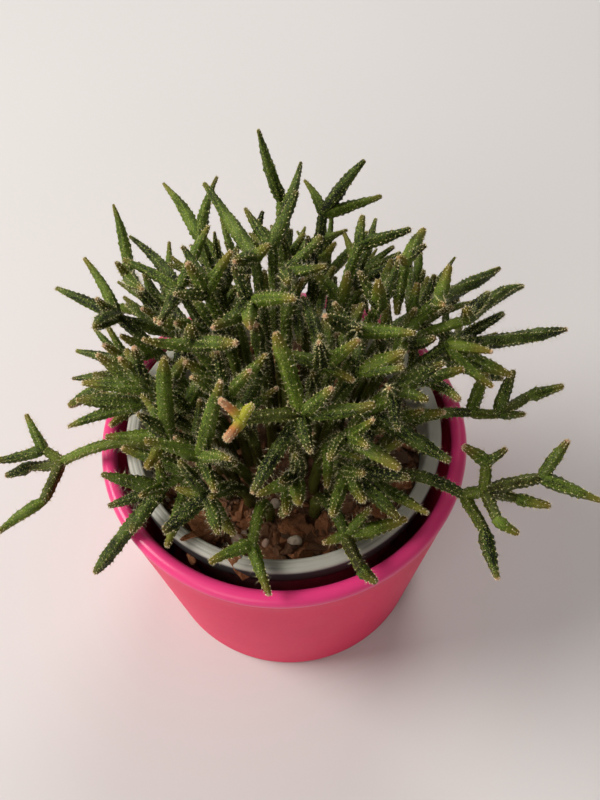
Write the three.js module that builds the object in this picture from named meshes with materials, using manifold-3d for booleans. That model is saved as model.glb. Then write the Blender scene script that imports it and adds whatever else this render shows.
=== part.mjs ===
// A potted rhipsalis: a mound of short, forking, bristly cactus stems growing from a bark potting mix,
// in a thin nursery pot that stands inside a glossy outer pot.
// Millimetres, Z up. The origin is the centre of the outer pot's foot, and the front faces -Y.
import * as THREE from "three";
import Module from "manifold-3d";

// Outer pot
const POT_HEIGHT = 106;
const POT_RIM_RADIUS = 70;
const POT_FOOT_RADIUS = 60;
const POT_LIP = 6;
const POT_WALL = 3.4;
const POT_FLOOR = 5;
const POT_FOOT_ROUND = 2;
const POT_LIP_DEPTH = 4;
const POT_LIP_STEP = 0.4;
const ROUND = 0.7;

// Nursery pot
const LINER_RADIUS = 60;
const LINER_OPENING = 54.6;
const LINER_TOP = 109;
const LINER_COLLAR = 9;
const LINER_WALL = 1.4;
const LINER_FOOT_RADIUS = 45;
const LINER_EDGE_DEPTH = 3;
const LINER_EDGE_ROUND = 1.8;
const LINER_EDGE_DIP = 0.2;
const LINER_TAPER = 0.5;
const SEAT_GAP = 0.35;
const POT_SIDES = 40;
const LINER_SIDES = 32;

// Edges shorter than this are smoothed away where pieces are joined: the first size that leaves a sound solid
const SMALLEST_EDGES = [0.2, 0.22, 0.24, 0.26, 0.3, 0.18, 0.16, 0.14, 0.12, 0.1];
const PLACES_PER_MM = 900;

// Potting mix
const SOIL_TOP = 96;
const SOIL_SURFACE = 93.8;
const SOIL_SIDES = 20;
const SOIL_RINGS = 3;
const SOIL_ROUGHNESS = 0.7;
const BARK_CHIPS = 10;
const PEBBLES = 5;
const BARK_SIZE = new THREE.Vector3(12, 7, 2.6);
const PEBBLE_RADIUS = 2.7;
const PIECE_SCALE = { least: 0.7, range: 0.5 };
const PIECE_TILT = 0.3;
const PIECE_MARGIN = 7;
const SOIL_SHOULDER = 1;

// Stems
const STEM_RADIUS = 2.7;
const CANE_RADIUS = 2.3;
const SEEN_SIDES = 5;
const FILL_SIDES = 4;
const ARM_RADIUS = 2.48;
const STEM_GAP = 0.55;
const SOIL_GAP = 0.6;
const BEAD_STEP = 1.6;
const SUNK = 1;
const STEM_BEND = 0.07;
const STEM_TRIES = 24;
const STEM_STRAY = 4;
const ARM_TRIES = 60;
const FILL_TRIES = 16;
const FILL_STRAY = 7;
const LEAST_OUTWARD = 0.2;

// Canes, which come up through plain holes in the potting mix
const ROOT_DEPTH = 7;
const ROOT_SPREAD = 43;
const ROOT_CENTRE = new THREE.Vector3(1.5, 2, 0);
const ROOT_SHARE = 0.52;
const ROOT_STRAY = 10;
const ROOT_CLEARANCE = 0.4;
const HOLE_SIDES = 4;
const COLLAR_RISE = 3;
const LEAST_RISE = 6;
const CANE_TRIES = 90;
const CANE_LEAN = 0.25;
const CANE_LIFT = 0.72;
const CANE_STRAY = new THREE.Vector3(16, 16, 6);
// A cane whose fork lies low and out past the edge of the pot arches over the edge at this height.
const ARCH = { beyond: 46, below: 124, height: 130 };

// Shares of the way along a stem, and its radius there as a share of the full one
const CANE_WAY = [0, 1 / 3, 2 / 3, 1];
const STEM_WAY = [0, 0.24, 0.8, 1];
const TIPPED_SHAPE = [0, 1, 0.86, 0];
const FORKED_SHAPE = [0, 1, 1, 0.85];

// The mound that the stem tips reach: a half-egg standing on the pot
const MOUND = new THREE.Vector3(3, 14, 104);
const MOUND_RADII = new THREE.Vector3(92, 80, 82);
const STEM_SOURCE = new THREE.Vector3(0, 0, 88);

// Where the object was seen from: degrees and millimetres, and the lens as pixels for the width of the view
const VIEW_CENTRE = [300, 400];
const VIEW_LENS = 800;
const VIEW_ELEVATION = 56.3;
const VIEW_DISTANCE = 306.8;
const VIEW_ASIDE = 6.5;
const VIEW_ABOVE = 10.3;
const VIEW_ROLL = -1.6;

// What the stems keep clear of at the upper edges of the two pots, as upright walls with a round top:
// radius, height of the round, half thickness
const EDGES = [
    { radius: 57.2, top: 106.4, half: 2.8 },
    { radius: 67.8, top: 103.8, half: 2.3 },
];

// Rows of further forks, behind and deep in the front: degrees round to the row's middle, degrees above
// level, spread to each side in degrees, how many, and how far out as a share of the mound
const ROWS = {
    back_low: { facing: 90, rise: 16, spread: 84, forks: 6, share: 0.68 },
    back_middle: { facing: 90, rise: 36, spread: 72, forks: 5, share: 0.68 },
    back_high: { facing: 90, rise: 58, spread: 50, forks: 3, share: 0.68 },
    front_deep: { facing: -90, rise: 34, spread: 80, forks: 5, share: 0.56 },
};

// Layers of stems between the seen ones: share of the mound, least distance between tips, reach from a fork,
// most stems on a fork, places tried, and how squarely a place must face the view. The seen stems alone make
// the outline, so the outer layer leaves its rim free.
const LAYERS = [
    { share: 0.98, apart: 11, near: 13, far: 36, most: 5, places: 420, facing: 0.3 },
    { share: 0.84, apart: 10, near: 10, far: 28, most: 6, places: 230, facing: 0 },
    { share: 0.64, apart: 11, near: 9, far: 26, most: 6, places: 130, facing: 0 },
];
const LOWEST_SHARE = -0.12;
// No stem but the seen ones ends in front of this.
const BARE_FRONT = -60;
const SHARE_STRAY = 0.03;
const ROW_STRAY = 4;
const SEEN_RADIUS_STRAY = 0.1;
const FILL_RADIUS = 0.96;
const FILL_RADIUS_STRAY = 0.12;
// A place on a cane counts as a fork that already carries this many stems.
const CANE_FORK_STEMS = 4;
// A spray with no way for a cane of its own joins a fork this near, if it carries fewer stems than this.
const JOIN = { near: 12, far: 60, most: 7 };
const GOLDEN_TURN = 2.399963;

// A stem tip or a fork as seen from the front: across and down in the view, and how far out it lies,
// as a share of the mound for the crown and as a height for the trailing stems.
const tip = (across, down, out) => ({ across, down, out, stems: [] });
const fork = (across, down, out, ...stems) => ({ across, down, out, stems });

const TRAILING = {
    trail_right: fork(463, 495, 118,
        fork(485, 531, 118, tip(498, 580, 112)),
        fork(484, 491, 123,
            fork(497, 520, 124, tip(519, 534, 122)),
            fork(541, 478, 124, tip(569, 440, 132), tip(602, 501, 122)),
            fork(516, 498, 117, tip(551, 506, 118)),
            fork(486, 462, 130, tip(463, 446, 135), tip(507, 448, 133)))),
    trail_right_upper: fork(471, 413, 122,
        tip(487, 370, 126),
        fork(498, 414, 122, tip(514, 370, 128), tip(525, 414, 120), fork(529, 396, 124, tip(564, 386, 126)))),
    trail_left: fork(62, 462, 104,
        fork(43, 502, 102, tip(-4, 534, 98)),
        fork(44, 449, 106, tip(26, 414, 110), tip(-6, 461, 104)),
        fork(30, 466, 98, tip(5, 476, 96))),
    front_left_droop: fork(252, 544, 116, tip(270, 596, 112), tip(209, 563, 118)),
    front_right_droop: fork(346, 535, 114,
        fork(362, 571, 118, tip(377, 583, 116)), tip(323, 543, 116), tip(370, 508, 124), tip(407, 518, 118)),
};

const CROWN = {
    right_reach: fork(448, 345, 0.84, tip(567, 329, 1), tip(504, 313, 1), tip(493, 352, 1)),
    rosette: fork(302, 416, 0.84,
        tip(275, 332, 1), tip(332, 388, 1.02), tip(375, 404, 1), tip(311, 453, 1), tip(252, 494, 1),
        fork(243, 420, 0.98, tip(219, 399, 1.03), tip(225, 441, 1.05), tip(252, 405, 1.08))),
    rosette_right: fork(346, 436, 0.8,
        tip(330, 459, 1), tip(368, 447, 1), tip(370, 418, 1), tip(400, 469, 1)),
    front_tuft: fork(297, 478, 0.72,
        tip(299, 504, 0.95), tip(281, 482, 0.9), tip(295, 455, 0.92), tip(281, 516, 0.75)),
    front_right_tuft: fork(346, 470, 0.74, tip(364, 473, 0.95), tip(409, 478, 0.95), tip(364, 502, 0.92)),
    low_left_tuft: fork(207, 496, 0.78,
        tip(235, 535, 0.9), tip(170, 527, 0.95), tip(180, 461, 0.95), tip(163, 532, 0.98)),
    low_left_long: fork(163, 487, 0.8, tip(95, 573, 0.98), tip(140, 496, 0.98), tip(101, 474, 0.98)),
    left_bristly: fork(201, 458, 0.82, tip(144, 441, 1), tip(231, 459, 1.02), tip(221, 380, 1.02)),
    left_upright: fork(168, 436, 0.8,
        tip(164, 357, 1), tip(138, 414, 0.98), tip(105, 437, 0.95), tip(146, 469, 0.95)),
    left_level: fork(141, 404, 0.78, tip(76, 400, 0.98), tip(68, 427, 1)),
    left_shoulder: fork(145, 387, 0.82,
        tip(134, 347, 1), tip(119, 358, 1), tip(82, 383, 0.98), tip(97, 354, 1)),
    fork_left: fork(193, 345, 0.86, tip(237, 343, 1.03), tip(190, 326, 0.98), tip(142, 339, 1.02)),
    left_edge: fork(117, 316, 0.86, tip(78, 296, 1), tip(84, 258, 1), tip(56, 288, 1), tip(94, 327, 1)),
    left_back: fork(130, 278, 0.9, tip(113, 204, 1), tip(116, 262, 1), tip(142, 289, 0.95)),
    upper_left: fork(180, 290, 0.82, tip(130, 236, 1), tip(119, 259, 1), tip(159, 324, 0.98)),
    upper_left_tuft: fork(207, 294, 0.84,
        tip(187, 262, 1), tip(182, 246, 0.98), tip(174, 294, 0.98), tip(232, 251, 0.98)),
    back_left: fork(200, 240, 0.9, tip(163, 183, 1), tip(217, 177, 1)),
    tall_left: fork(255, 258, 0.9, tip(204, 183, 1.04), tip(270, 244, 0.98), tip(234, 262, 1)),
    crest: fork(281, 200, 0.9, tip(258, 129, 1), tip(268, 166, 1)),
    tall_mid: fork(272, 246, 0.88, tip(301, 162, 1.1), tip(297, 191, 1.04)),
    hub_left: fork(250, 303, 0.86,
        tip(295, 299, 1.03), tip(212, 328, 1.02), tip(233, 266, 1.02), tip(250, 328, 0.98)),
    hub_mid: fork(286, 272, 0.86, tip(326, 266, 1.02), tip(322, 236, 0.98)),
    back_mid: fork(323, 214, 0.9, tip(365, 160, 1), tip(382, 196, 1), tip(304, 180, 1)),
    back_right: fork(360, 244, 0.92, tip(363, 215, 1), tip(411, 229, 1)),
    right_fork: fork(405, 262, 0.95, tip(424, 229, 1), tip(426, 245, 1), tip(398, 257, 0.98)),
    right_upright: fork(380, 306, 0.82, tip(398, 257, 1), tip(378, 281, 1.02), tip(359, 272, 0.96)),
    right_back: fork(438, 300, 0.92, tip(450, 265, 1), tip(500, 268, 1), tip(444, 305, 1.02)),
    right_shoulder: fork(468, 320, 0.95, tip(489, 292, 1), tip(518, 294, 1), tip(466, 309, 1.02)),
    mid_right: fork(350, 330, 0.8, tip(415, 333, 1), tip(324, 316, 0.98), tip(358, 329, 1)),
    mid_tuft: fork(322, 366, 0.8, tip(319, 342, 1), tip(362, 337, 0.98)),
    mid_low_right: fork(360, 372, 0.82, tip(404, 352, 1), tip(404, 367, 1)),
    right_arm: fork(393, 390, 0.82, tip(444, 363, 1.02), tip(389, 388, 1), tip(464, 369, 0.95)),
    inner_left: fork(228, 398, 0.74,
        tip(191, 377, 1), tip(208, 410, 0.92), tip(250, 370, 0.95), tip(266, 354, 0.98)),
};

// Seen stems grown after all others, from their spray's last fork, with the height that each ends at.
const LATE = {
    tall_left: [tip(204, 183, 176)],
    mid_tuft: [tip(302, 297, 162), tip(325, 314, 160)],
    back_high_2: [tip(300, 345, 144)],
    back_low_3: [tip(319, 316, 126)],
    back_middle_2: [tip(368, 314, 126)],
    right_fork: [tip(397, 315, 156)],
};

const wasm = await Module();
wasm.setup();

const radians = THREE.MathUtils.degToRad;
const point = (x, y, z) => new THREE.Vector3(x, y, z);

// A seeded row of draws, the same in every run.
class Draw {
    constructor(seed) {
        this.state = seed;
    }

    next() {
        this.state = (Math.imul(this.state, 1664525) + 1013904223) >>> 0;
        return this.state / 4294967296;
    }

    around(size) {
        return (this.next() * 2 - 1) * size;
    }

    offset(size) {
        const x = this.around(size);
        const y = this.around(size);
        const z = this.around(size);
        return point(x, y, z);
    }
}

// The direction at an angle round from +X and an angle above level.
function direction(turn, rise) {
    return point(Math.cos(turn) * Math.cos(rise), Math.sin(turn) * Math.cos(rise), Math.sin(rise));
}

// The viewpoint: its axes, its place, and the line of sight through a place in the view.
const view = (() => {
    const rise = radians(VIEW_ELEVATION);
    const roll = radians(VIEW_ROLL);
    const back = point(0, -Math.cos(rise), Math.sin(rise));
    const side = point(1, 0, 0);
    const up = point(0, Math.sin(rise), Math.cos(rise));
    const eye = point(0, 0, POT_HEIGHT).addScaledVector(back, VIEW_DISTANCE)
        .addScaledVector(side, VIEW_ASIDE).addScaledVector(up, VIEW_ABOVE);
    const rightward = side.clone().multiplyScalar(Math.cos(roll)).addScaledVector(up, Math.sin(roll));
    const upward = up.clone().multiplyScalar(Math.cos(roll)).addScaledVector(side, -Math.sin(roll));
    const sight = (across, down) => back.clone().multiplyScalar(-VIEW_LENS)
        .addScaledVector(rightward, across - VIEW_CENTRE[0]).addScaledVector(upward, VIEW_CENTRE[1] - down);
    return { eye, sight };
})();

// The place where a line of sight enters the mound shrunk to a share, or passes nearest to it.
function onMound(across, down, share) {
    const line = view.sight(across, down);
    const from = view.eye.clone().sub(MOUND).divide(MOUND_RADII);
    const along = line.clone().divide(MOUND_RADII);
    const a = along.dot(along);
    const b = from.dot(along);
    const c = from.dot(from) - share * share;
    const reach = (-b - Math.sqrt(Math.max(b * b - a * c, 0))) / a;
    return view.eye.clone().addScaledVector(line, reach);
}

// The place where a line of sight comes down to a height.
function atHeight(across, down, height) {
    const line = view.sight(across, down);
    return view.eye.clone().addScaledVector(line, (height - view.eye.z) / line.z);
}

// How squarely the mound at a place faces the view, or turns its back to it: 0 at its rim, 1 straight on.
function facingView(place) {
    const outward = place.clone().sub(MOUND).divide(MOUND_RADII).divide(MOUND_RADII).normalize();
    const toEye = view.eye.clone().sub(place).normalize();
    return Math.abs(outward.dot(toEye));
}

// Points along a curve from one place to another, drawn toward a bend, at the given shares of the way.
function curve(start, bend, end, shares) {
    return shares.map((t) => point(0, 0, 0).addScaledVector(start, (1 - t) ** 2)
        .addScaledVector(bend, 2 * t * (1 - t)).addScaledVector(end, t * t));
}

// Beads strung along a stem, by which its clearance is judged.
function beadsOf(stem) {
    const beads = [];
    for (let i = 0; i + 1 < stem.points.length; i += 1) {
        const [from, to] = [stem.points[i], stem.points[i + 1]];
        const count = Math.max(1, Math.ceil(from.distanceTo(to) / BEAD_STEP));
        for (let k = 0; k <= count; k += 1) {
            const t = k / count;
            const radius = stem.radii[i] * (1 - t) + stem.radii[i + 1] * t;
            beads.push({ at: from.clone().lerp(to, t), radius });
        }
    }
    return beads;
}

// Room between a bead and the upper edges of the pots and the potting mix.
function edgeRoom(bead) {
    const out = Math.hypot(bead.at.x, bead.at.y);
    let room = Infinity;
    for (const edge of EDGES) {
        const above = Math.max(bead.at.z - edge.top, 0);
        room = Math.min(room, Math.hypot(out - edge.radius, above) - edge.half - bead.radius);
    }
    if (out < EDGES[0].radius) {
        room = Math.min(room, bead.at.z - bead.radius - SOIL_TOP - SOIL_GAP);
    }
    return room;
}

// The plant: forks, and the stems grown between them, each spray kept clear of every other.
class Plant {
    constructor(seed) {
        this.draw = new Draw(seed);
        this.sprays = new Map();
        this.forks = [];
        this.beads = [];
        this.tips = [];
        this.waiting = [];
    }

    // The least clearance between a new stem and the pots and the other sprays.
    room(stem, spray) {
        const beads = beadsOf(stem);
        let room = Infinity;
        for (const bead of beads) {
            if (!stem.rooted || bead.at.z > SOIL_TOP + COLLAR_RISE) {
                room = Math.min(room, edgeRoom(bead));
            }
        }
        if (room < STEM_GAP) {
            return room;
        }
        for (const other of this.beads) {
            if (other.spray !== spray) {
                for (const bead of beads) {
                    const space = bead.at.distanceTo(other.at) - bead.radius - other.radius;
                    room = Math.min(room, space);
                }
            }
        }
        return room;
    }

    keep(stem, spray) {
        for (const bead of beadsOf(stem)) {
            this.beads.push({ ...bead, spray });
        }
        if (stem.tipped) {
            this.tips.push(stem.points.at(-1));
        }
        this.sprays.get(spray).push(stem);
        return stem;
    }

    // The stem from the potting mix to a spray's first fork.
    cane(spray, end) {
        const outward = point(end.x - MOUND.x, end.y - MOUND.y, 0);
        const share = Math.min(ROOT_SHARE, ROOT_SPREAD / Math.max(outward.length(), 1));
        const arching = Math.hypot(end.x, end.y) > ARCH.beyond && end.z < ARCH.below;
        let best = null;
        for (let k = 0; k < CANE_TRIES; k += 1) {
            const stray = k / (CANE_TRIES - 1);
            const root = ROOT_CENTRE.clone().addScaledVector(outward, share);
            root.x += this.draw.around(ROOT_STRAY * stray);
            root.y += this.draw.around(ROOT_STRAY * stray);
            const far = Math.hypot(root.x, root.y);
            if (far > ROOT_SPREAD) {
                root.multiplyScalar(ROOT_SPREAD / far);
            }
            const low = point(root.x, root.y, SOIL_TOP - ROOT_DEPTH);
            const collar = point(root.x, root.y, SOIL_TOP + COLLAR_RISE);
            const rise = Math.max(end.z - collar.z, LEAST_RISE);
            const bend = collar.clone().lerp(end, CANE_LEAN);
            bend.z = arching ? ARCH.height : collar.z + rise * CANE_LIFT;
            bend.x += this.draw.around(CANE_STRAY.x * stray);
            bend.y += this.draw.around(CANE_STRAY.y * stray);
            bend.z += this.draw.around(CANE_STRAY.z * stray);
            const points = [low, ...curve(collar, bend, end, CANE_WAY)];
            const radii = points.map(() => CANE_RADIUS);
            const stem = { points, radii, sides: FILL_SIDES, rooted: true, tipped: false };
            const room = this.room(stem, spray);
            if (best === null || room > best.room) {
                best = { room, stem };
            }
            if (room > STEM_GAP) {
                break;
            }
        }
        return best.room < STEM_GAP ? null : this.keep(best.stem, spray);
    }

    // A stem from a fork to a tip, or to the next fork.
    stem(spray, from, to, radius, options = {}) {
        const { tipped = true, sides = SEEN_SIDES, tries = STEM_TRIES, stray = STEM_STRAY } = options;
        for (let k = 0; k < tries; k += 1) {
            const end = to.clone().add(this.draw.offset(stray * (k / tries)));
            const way = end.clone().sub(from);
            const length = way.length();
            const ahead = way.clone().divideScalar(length);
            const side = this.draw.offset(1);
            side.addScaledVector(ahead, -side.dot(ahead));
            const bend = from.clone().addScaledVector(way, 0.5).addScaledVector(side, STEM_BEND * length);
            const start = from.clone().addScaledVector(ahead, -SUNK);
            const points = curve(start, bend, end, STEM_WAY);
            const shape = tipped ? TIPPED_SHAPE : FORKED_SHAPE;
            const stem = { points, radii: shape.map((part) => part * radius), sides, rooted: false, tipped };
            if (this.room(stem, spray) > STEM_GAP) {
                return this.keep(stem, spray);
            }
        }
        return null;
    }

    // The nearest fork that can carry one more stem toward a place, with the stem leading outward.
    // The trailing sprays are seen whole and take no further stems.
    nearest(place, near, far, most) {
        let best = null;
        for (const joint of this.forks.filter((each) => !(each.spray in TRAILING))) {
            const way = place.clone().sub(joint.at);
            const length = way.length();
            const closer = best === null || length < best.length;
            if (length > near && length < far && joint.stems < most && closer) {
                const outward = joint.at.clone().sub(STEM_SOURCE).divide(MOUND_RADII).normalize();
                if (way.dot(outward) / length > LEAST_OUTWARD) {
                    best = { length, joint };
                }
            }
        }
        return best === null ? null : best.joint;
    }

    // A new spray with its first fork, on a cane of its own or else on an arm of the nearest spray.
    begin(name, at, stems) {
        this.sprays.set(name, []);
        const cane = this.cane(name, at);
        if (cane !== null) {
            this.forks.push({ spray: name, at: cane.points.at(-2), stems: CANE_FORK_STEMS });
            this.forks.push({ spray: name, at, stems });
            return this.forks.at(-1);
        }
        const near = this.nearest(at, JOIN.near, JOIN.far, JOIN.most);
        if (near === null) {
            return null;
        }
        const arm = this.stem(near.spray, near.at, at, ARM_RADIUS, { tipped: false, tries: ARM_TRIES });
        if (arm === null) {
            return null;
        }
        near.stems += 1;
        this.forks.push({ spray: near.spray, at: arm.points.at(-1), stems });
        return this.forks.at(-1);
    }

    // The seen sprays, from their forks as listed.
    plantSeen(list, locate) {
        for (const [name, seen] of Object.entries(list)) {
            const joint = this.begin(name, locate(seen.across, seen.down, seen.out), seen.stems.length);
            if (joint !== null) {
                for (const stem of seen.stems) {
                    this.waiting.push({ spray: joint.spray, from: joint.at, seen: stem, locate });
                }
            }
        }
    }

    // The far side and the deep of the front, in rows of forks.
    plantRows() {
        for (const [name, row] of Object.entries(ROWS)) {
            for (let k = 0; k < row.forks; k += 1) {
                const aside = row.spread * (2 * k / (row.forks - 1) - 1);
                const turn = radians(row.facing + aside + this.draw.around(ROW_STRAY));
                const rise = radians(row.rise + this.draw.around(ROW_STRAY));
                const way = direction(turn, rise);
                const share = row.share + this.draw.around(SHARE_STRAY);
                const at = way.multiply(MOUND_RADII).multiplyScalar(share).add(MOUND);
                this.begin(`${name}_${k + 1}`, at, 0);
            }
        }
    }

    // The stems and further forks of the seen sprays, nearest to the canes first.
    branch() {
        while (this.waiting.length > 0) {
            const { spray, from, seen, locate } = this.waiting.shift();
            const at = locate(seen.across, seen.down, seen.out);
            if (seen.stems.length === 0) {
                this.stem(spray, from, at, STEM_RADIUS * (1 + this.draw.around(SEEN_RADIUS_STRAY)));
            } else {
                const arm = this.stem(spray, from, at, ARM_RADIUS, { tipped: false });
                if (arm !== null) {
                    this.forks.push({ spray, at: arm.points.at(-1), stems: 0 });
                    for (const stem of seen.stems) {
                        this.waiting.push({ spray, from: arm.points.at(-1), seen: stem, locate });
                    }
                }
            }
        }
    }

    // The stems between the seen ones, from evenly spread places on the mound.
    fill() {
        for (const layer of LAYERS) {
            for (let k = 0; k < layer.places; k += 1) {
                const rise = 1 - (1 - LOWEST_SHARE) * (k + 0.5) / layer.places;
                const flat = Math.sqrt(Math.max(0, 1 - rise * rise));
                const turn = k * GOLDEN_TURN;
                const way = point(Math.cos(turn) * flat, Math.sin(turn) * flat, rise);
                const share = layer.share + this.draw.around(SHARE_STRAY);
                const place = way.multiply(MOUND_RADII).multiplyScalar(share).add(MOUND);
                const hidden = facingView(place) < layer.facing;
                const crowded = this.tips.some((other) => other.distanceTo(place) < layer.apart);
                const open = !hidden && !crowded;
                const joint = open ? this.nearest(place, layer.near, layer.far, layer.most) : null;
                if (joint !== null) {
                    const radius = STEM_RADIUS * (FILL_RADIUS + this.draw.around(FILL_RADIUS_STRAY));
                    const way = { sides: FILL_SIDES, tries: FILL_TRIES, stray: FILL_STRAY };
                    const grown = this.stem(joint.spray, joint.at, place, radius, way);
                    joint.stems += grown === null ? 0 : 1;
                    if (grown !== null && place.y < BARE_FRONT) {
                        this.sprays.get(joint.spray).pop();
                    }
                }
            }
        }
    }

    // The late stems, each from its spray's last fork.
    plantLate() {
        for (const [spray, tips] of Object.entries(LATE)) {
            const from = this.forks.findLast((each) => each.spray === spray).at;
            for (const seen of tips) {
                this.stem(spray, from, atHeight(seen.across, seen.down, seen.out), STEM_RADIUS);
            }
        }
    }

    grow() {
        this.plantSeen(TRAILING, atHeight);
        this.plantSeen(CROWN, onMound);
        this.plantRows();
        this.branch();
        this.fill();
        this.plantLate();
        return this;
    }
}

// A closed geometry as a solid: vertices joined by place, collapsed triangles left out, faces turned outward.
function solidOf(geometry) {
    const positions = geometry.getAttribute("position");
    const index = geometry.getIndex();
    const places = new Map();
    const vertices = [];
    const vertexAt = (i) => {
        const xyz = [positions.getX(i), positions.getY(i), positions.getZ(i)];
        const key = xyz.map((value) => Math.round(value * 1e4)).join(",");
        if (!places.has(key)) {
            places.set(key, vertices.length / 3);
            vertices.push(...xyz);
        }
        return places.get(key);
    };
    const triangles = [];
    const count = index === null ? positions.count : index.count;
    for (let i = 0; i < count; i += 3) {
        const corners = [0, 1, 2].map((k) => vertexAt(index === null ? i + k : index.getX(i + k)));
        if (new Set(corners).size === 3) {
            triangles.push(...corners);
        }
    }
    const build = (triVerts) => new wasm.Manifold(new wasm.Mesh({
        numProp: 3,
        vertProperties: Float32Array.from(vertices),
        triVerts: Uint32Array.from(triVerts),
    }));
    const solid = build(triangles);
    return solid.volume() > 0 ? solid : build(triangles.reverse());
}

function join(solids) {
    return solids.reduce((whole, solid) => whole.add(solid));
}

// A profile of radius and height, turned about the upright axis.
function turned(profile, sides) {
    const outline = profile.map(([radius, height]) => new THREE.Vector2(radius, height));
    const geometry = new THREE.LatheGeometry([...outline, outline[0]], sides);
    geometry.rotateX(Math.PI / 2);
    return solidOf(geometry);
}

// A round or many-sided bar through the given points, with a radius at each.
function bar(points, radii, sides) {
    const vertices = [];
    const faces = [];
    let across = null;
    points.forEach((at, i) => {
        const [before, after] = [points[Math.max(i - 1, 0)], points[Math.min(i + 1, points.length - 1)]];
        const ahead = after.clone().sub(before).normalize();
        if (across === null) {
            across = Math.abs(ahead.z) < 0.9 ? point(0, 0, 1).cross(ahead) : point(1, 0, 0).cross(ahead);
        }
        across.addScaledVector(ahead, -across.dot(ahead)).normalize();
        const other = ahead.clone().cross(across);
        for (let k = 0; k < sides; k += 1) {
            const turn = 2 * Math.PI * k / sides;
            const corner = at.clone().addScaledVector(across, radii[i] * Math.cos(turn))
                .addScaledVector(other, radii[i] * Math.sin(turn));
            vertices.push(corner.x, corner.y, corner.z);
        }
    });
    const last = (points.length - 1) * sides;
    for (let k = 0; k < sides; k += 1) {
        const next = (k + 1) % sides;
        for (let row = 0; row < last; row += sides) {
            faces.push(row + k, row + next, row + sides + next);
            faces.push(row + k, row + sides + next, row + sides + k);
        }
        if (k > 0 && next > 0) {
            faces.push(0, next, k);
            faces.push(last, last + k, last + next);
        }
    }
    const geometry = new THREE.BufferGeometry();
    geometry.setAttribute("position", new THREE.Float32BufferAttribute(vertices, 3));
    geometry.setIndex(faces);
    return solidOf(geometry);
}

// The outer pot: a plain tapering wall with a rounded lip, and a flat floor and foot.
function outerPot() {
    const lip = POT_LIP / 2;
    const middle = POT_RIM_RADIUS - lip;
    const profile = [
        [0, 0],
        [POT_FOOT_RADIUS - POT_FOOT_ROUND, 0],
        [POT_FOOT_RADIUS, POT_FOOT_ROUND],
        [POT_RIM_RADIUS - POT_LIP_STEP, POT_HEIGHT - POT_LIP_DEPTH],
        [POT_RIM_RADIUS, POT_HEIGHT - lip],
        [middle + lip * ROUND, POT_HEIGHT - lip * (1 - ROUND)],
        [middle, POT_HEIGHT],
        [middle - lip * ROUND, POT_HEIGHT - lip * (1 - ROUND)],
        [middle - lip, POT_HEIGHT - lip],
        [middle - lip + POT_LIP_STEP, POT_HEIGHT - POT_LIP_DEPTH],
        [POT_FOOT_RADIUS - POT_WALL, POT_FLOOR + POT_FOOT_ROUND],
        [POT_FOOT_RADIUS - POT_WALL - POT_FOOT_ROUND, POT_FLOOR],
        [0, POT_FLOOR],
    ];
    return turned(profile, POT_SIDES);
}

// The nursery pot: a thin tapering pot with a broad rolled edge and a collar below it.
const LINER_FOOT = POT_FLOOR + SEAT_GAP;
const LINER_FLOOR = LINER_FOOT + LINER_WALL;
const LINER_INSIDE_FOOT = LINER_FOOT_RADIUS - LINER_WALL;

const LINER_NECK = LINER_TOP - LINER_COLLAR - 1;

function nurseryPot() {
    const collarLow = LINER_TOP - LINER_COLLAR;
    const profile = [
        [0, LINER_FOOT],
        [LINER_FOOT_RADIUS, LINER_FOOT],
        [LINER_OPENING + LINER_WALL - LINER_TAPER, LINER_NECK],
        [LINER_OPENING + LINER_WALL, LINER_TOP - LINER_EDGE_DEPTH],
        [LINER_RADIUS - LINER_WALL, LINER_TOP - LINER_EDGE_DEPTH],
        [LINER_RADIUS - LINER_WALL - LINER_TAPER, collarLow],
        [LINER_RADIUS - LINER_TAPER, collarLow],
        [LINER_RADIUS, LINER_TOP - LINER_EDGE_ROUND],
        [LINER_RADIUS - LINER_EDGE_ROUND, LINER_TOP],
        [LINER_OPENING + LINER_EDGE_ROUND * ROUND, LINER_TOP - LINER_EDGE_DIP],
        [LINER_OPENING, LINER_TOP - LINER_EDGE_ROUND],
        [LINER_OPENING - LINER_TAPER, LINER_NECK],
        [LINER_INSIDE_FOOT, LINER_FLOOR],
        [0, LINER_FLOOR],
    ];
    return turned(profile, LINER_SIDES);
}

// The inside of the nursery pot at a height, less the gap that the potting mix keeps.
function soilRadius(height) {
    const share = (height - LINER_FLOOR) / (LINER_NECK - LINER_FLOOR);
    const inside = LINER_INSIDE_FOOT + (LINER_OPENING - LINER_TAPER - LINER_INSIDE_FOOT) * share;
    return inside * Math.cos(Math.PI / LINER_SIDES) - SEAT_GAP;
}

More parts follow.
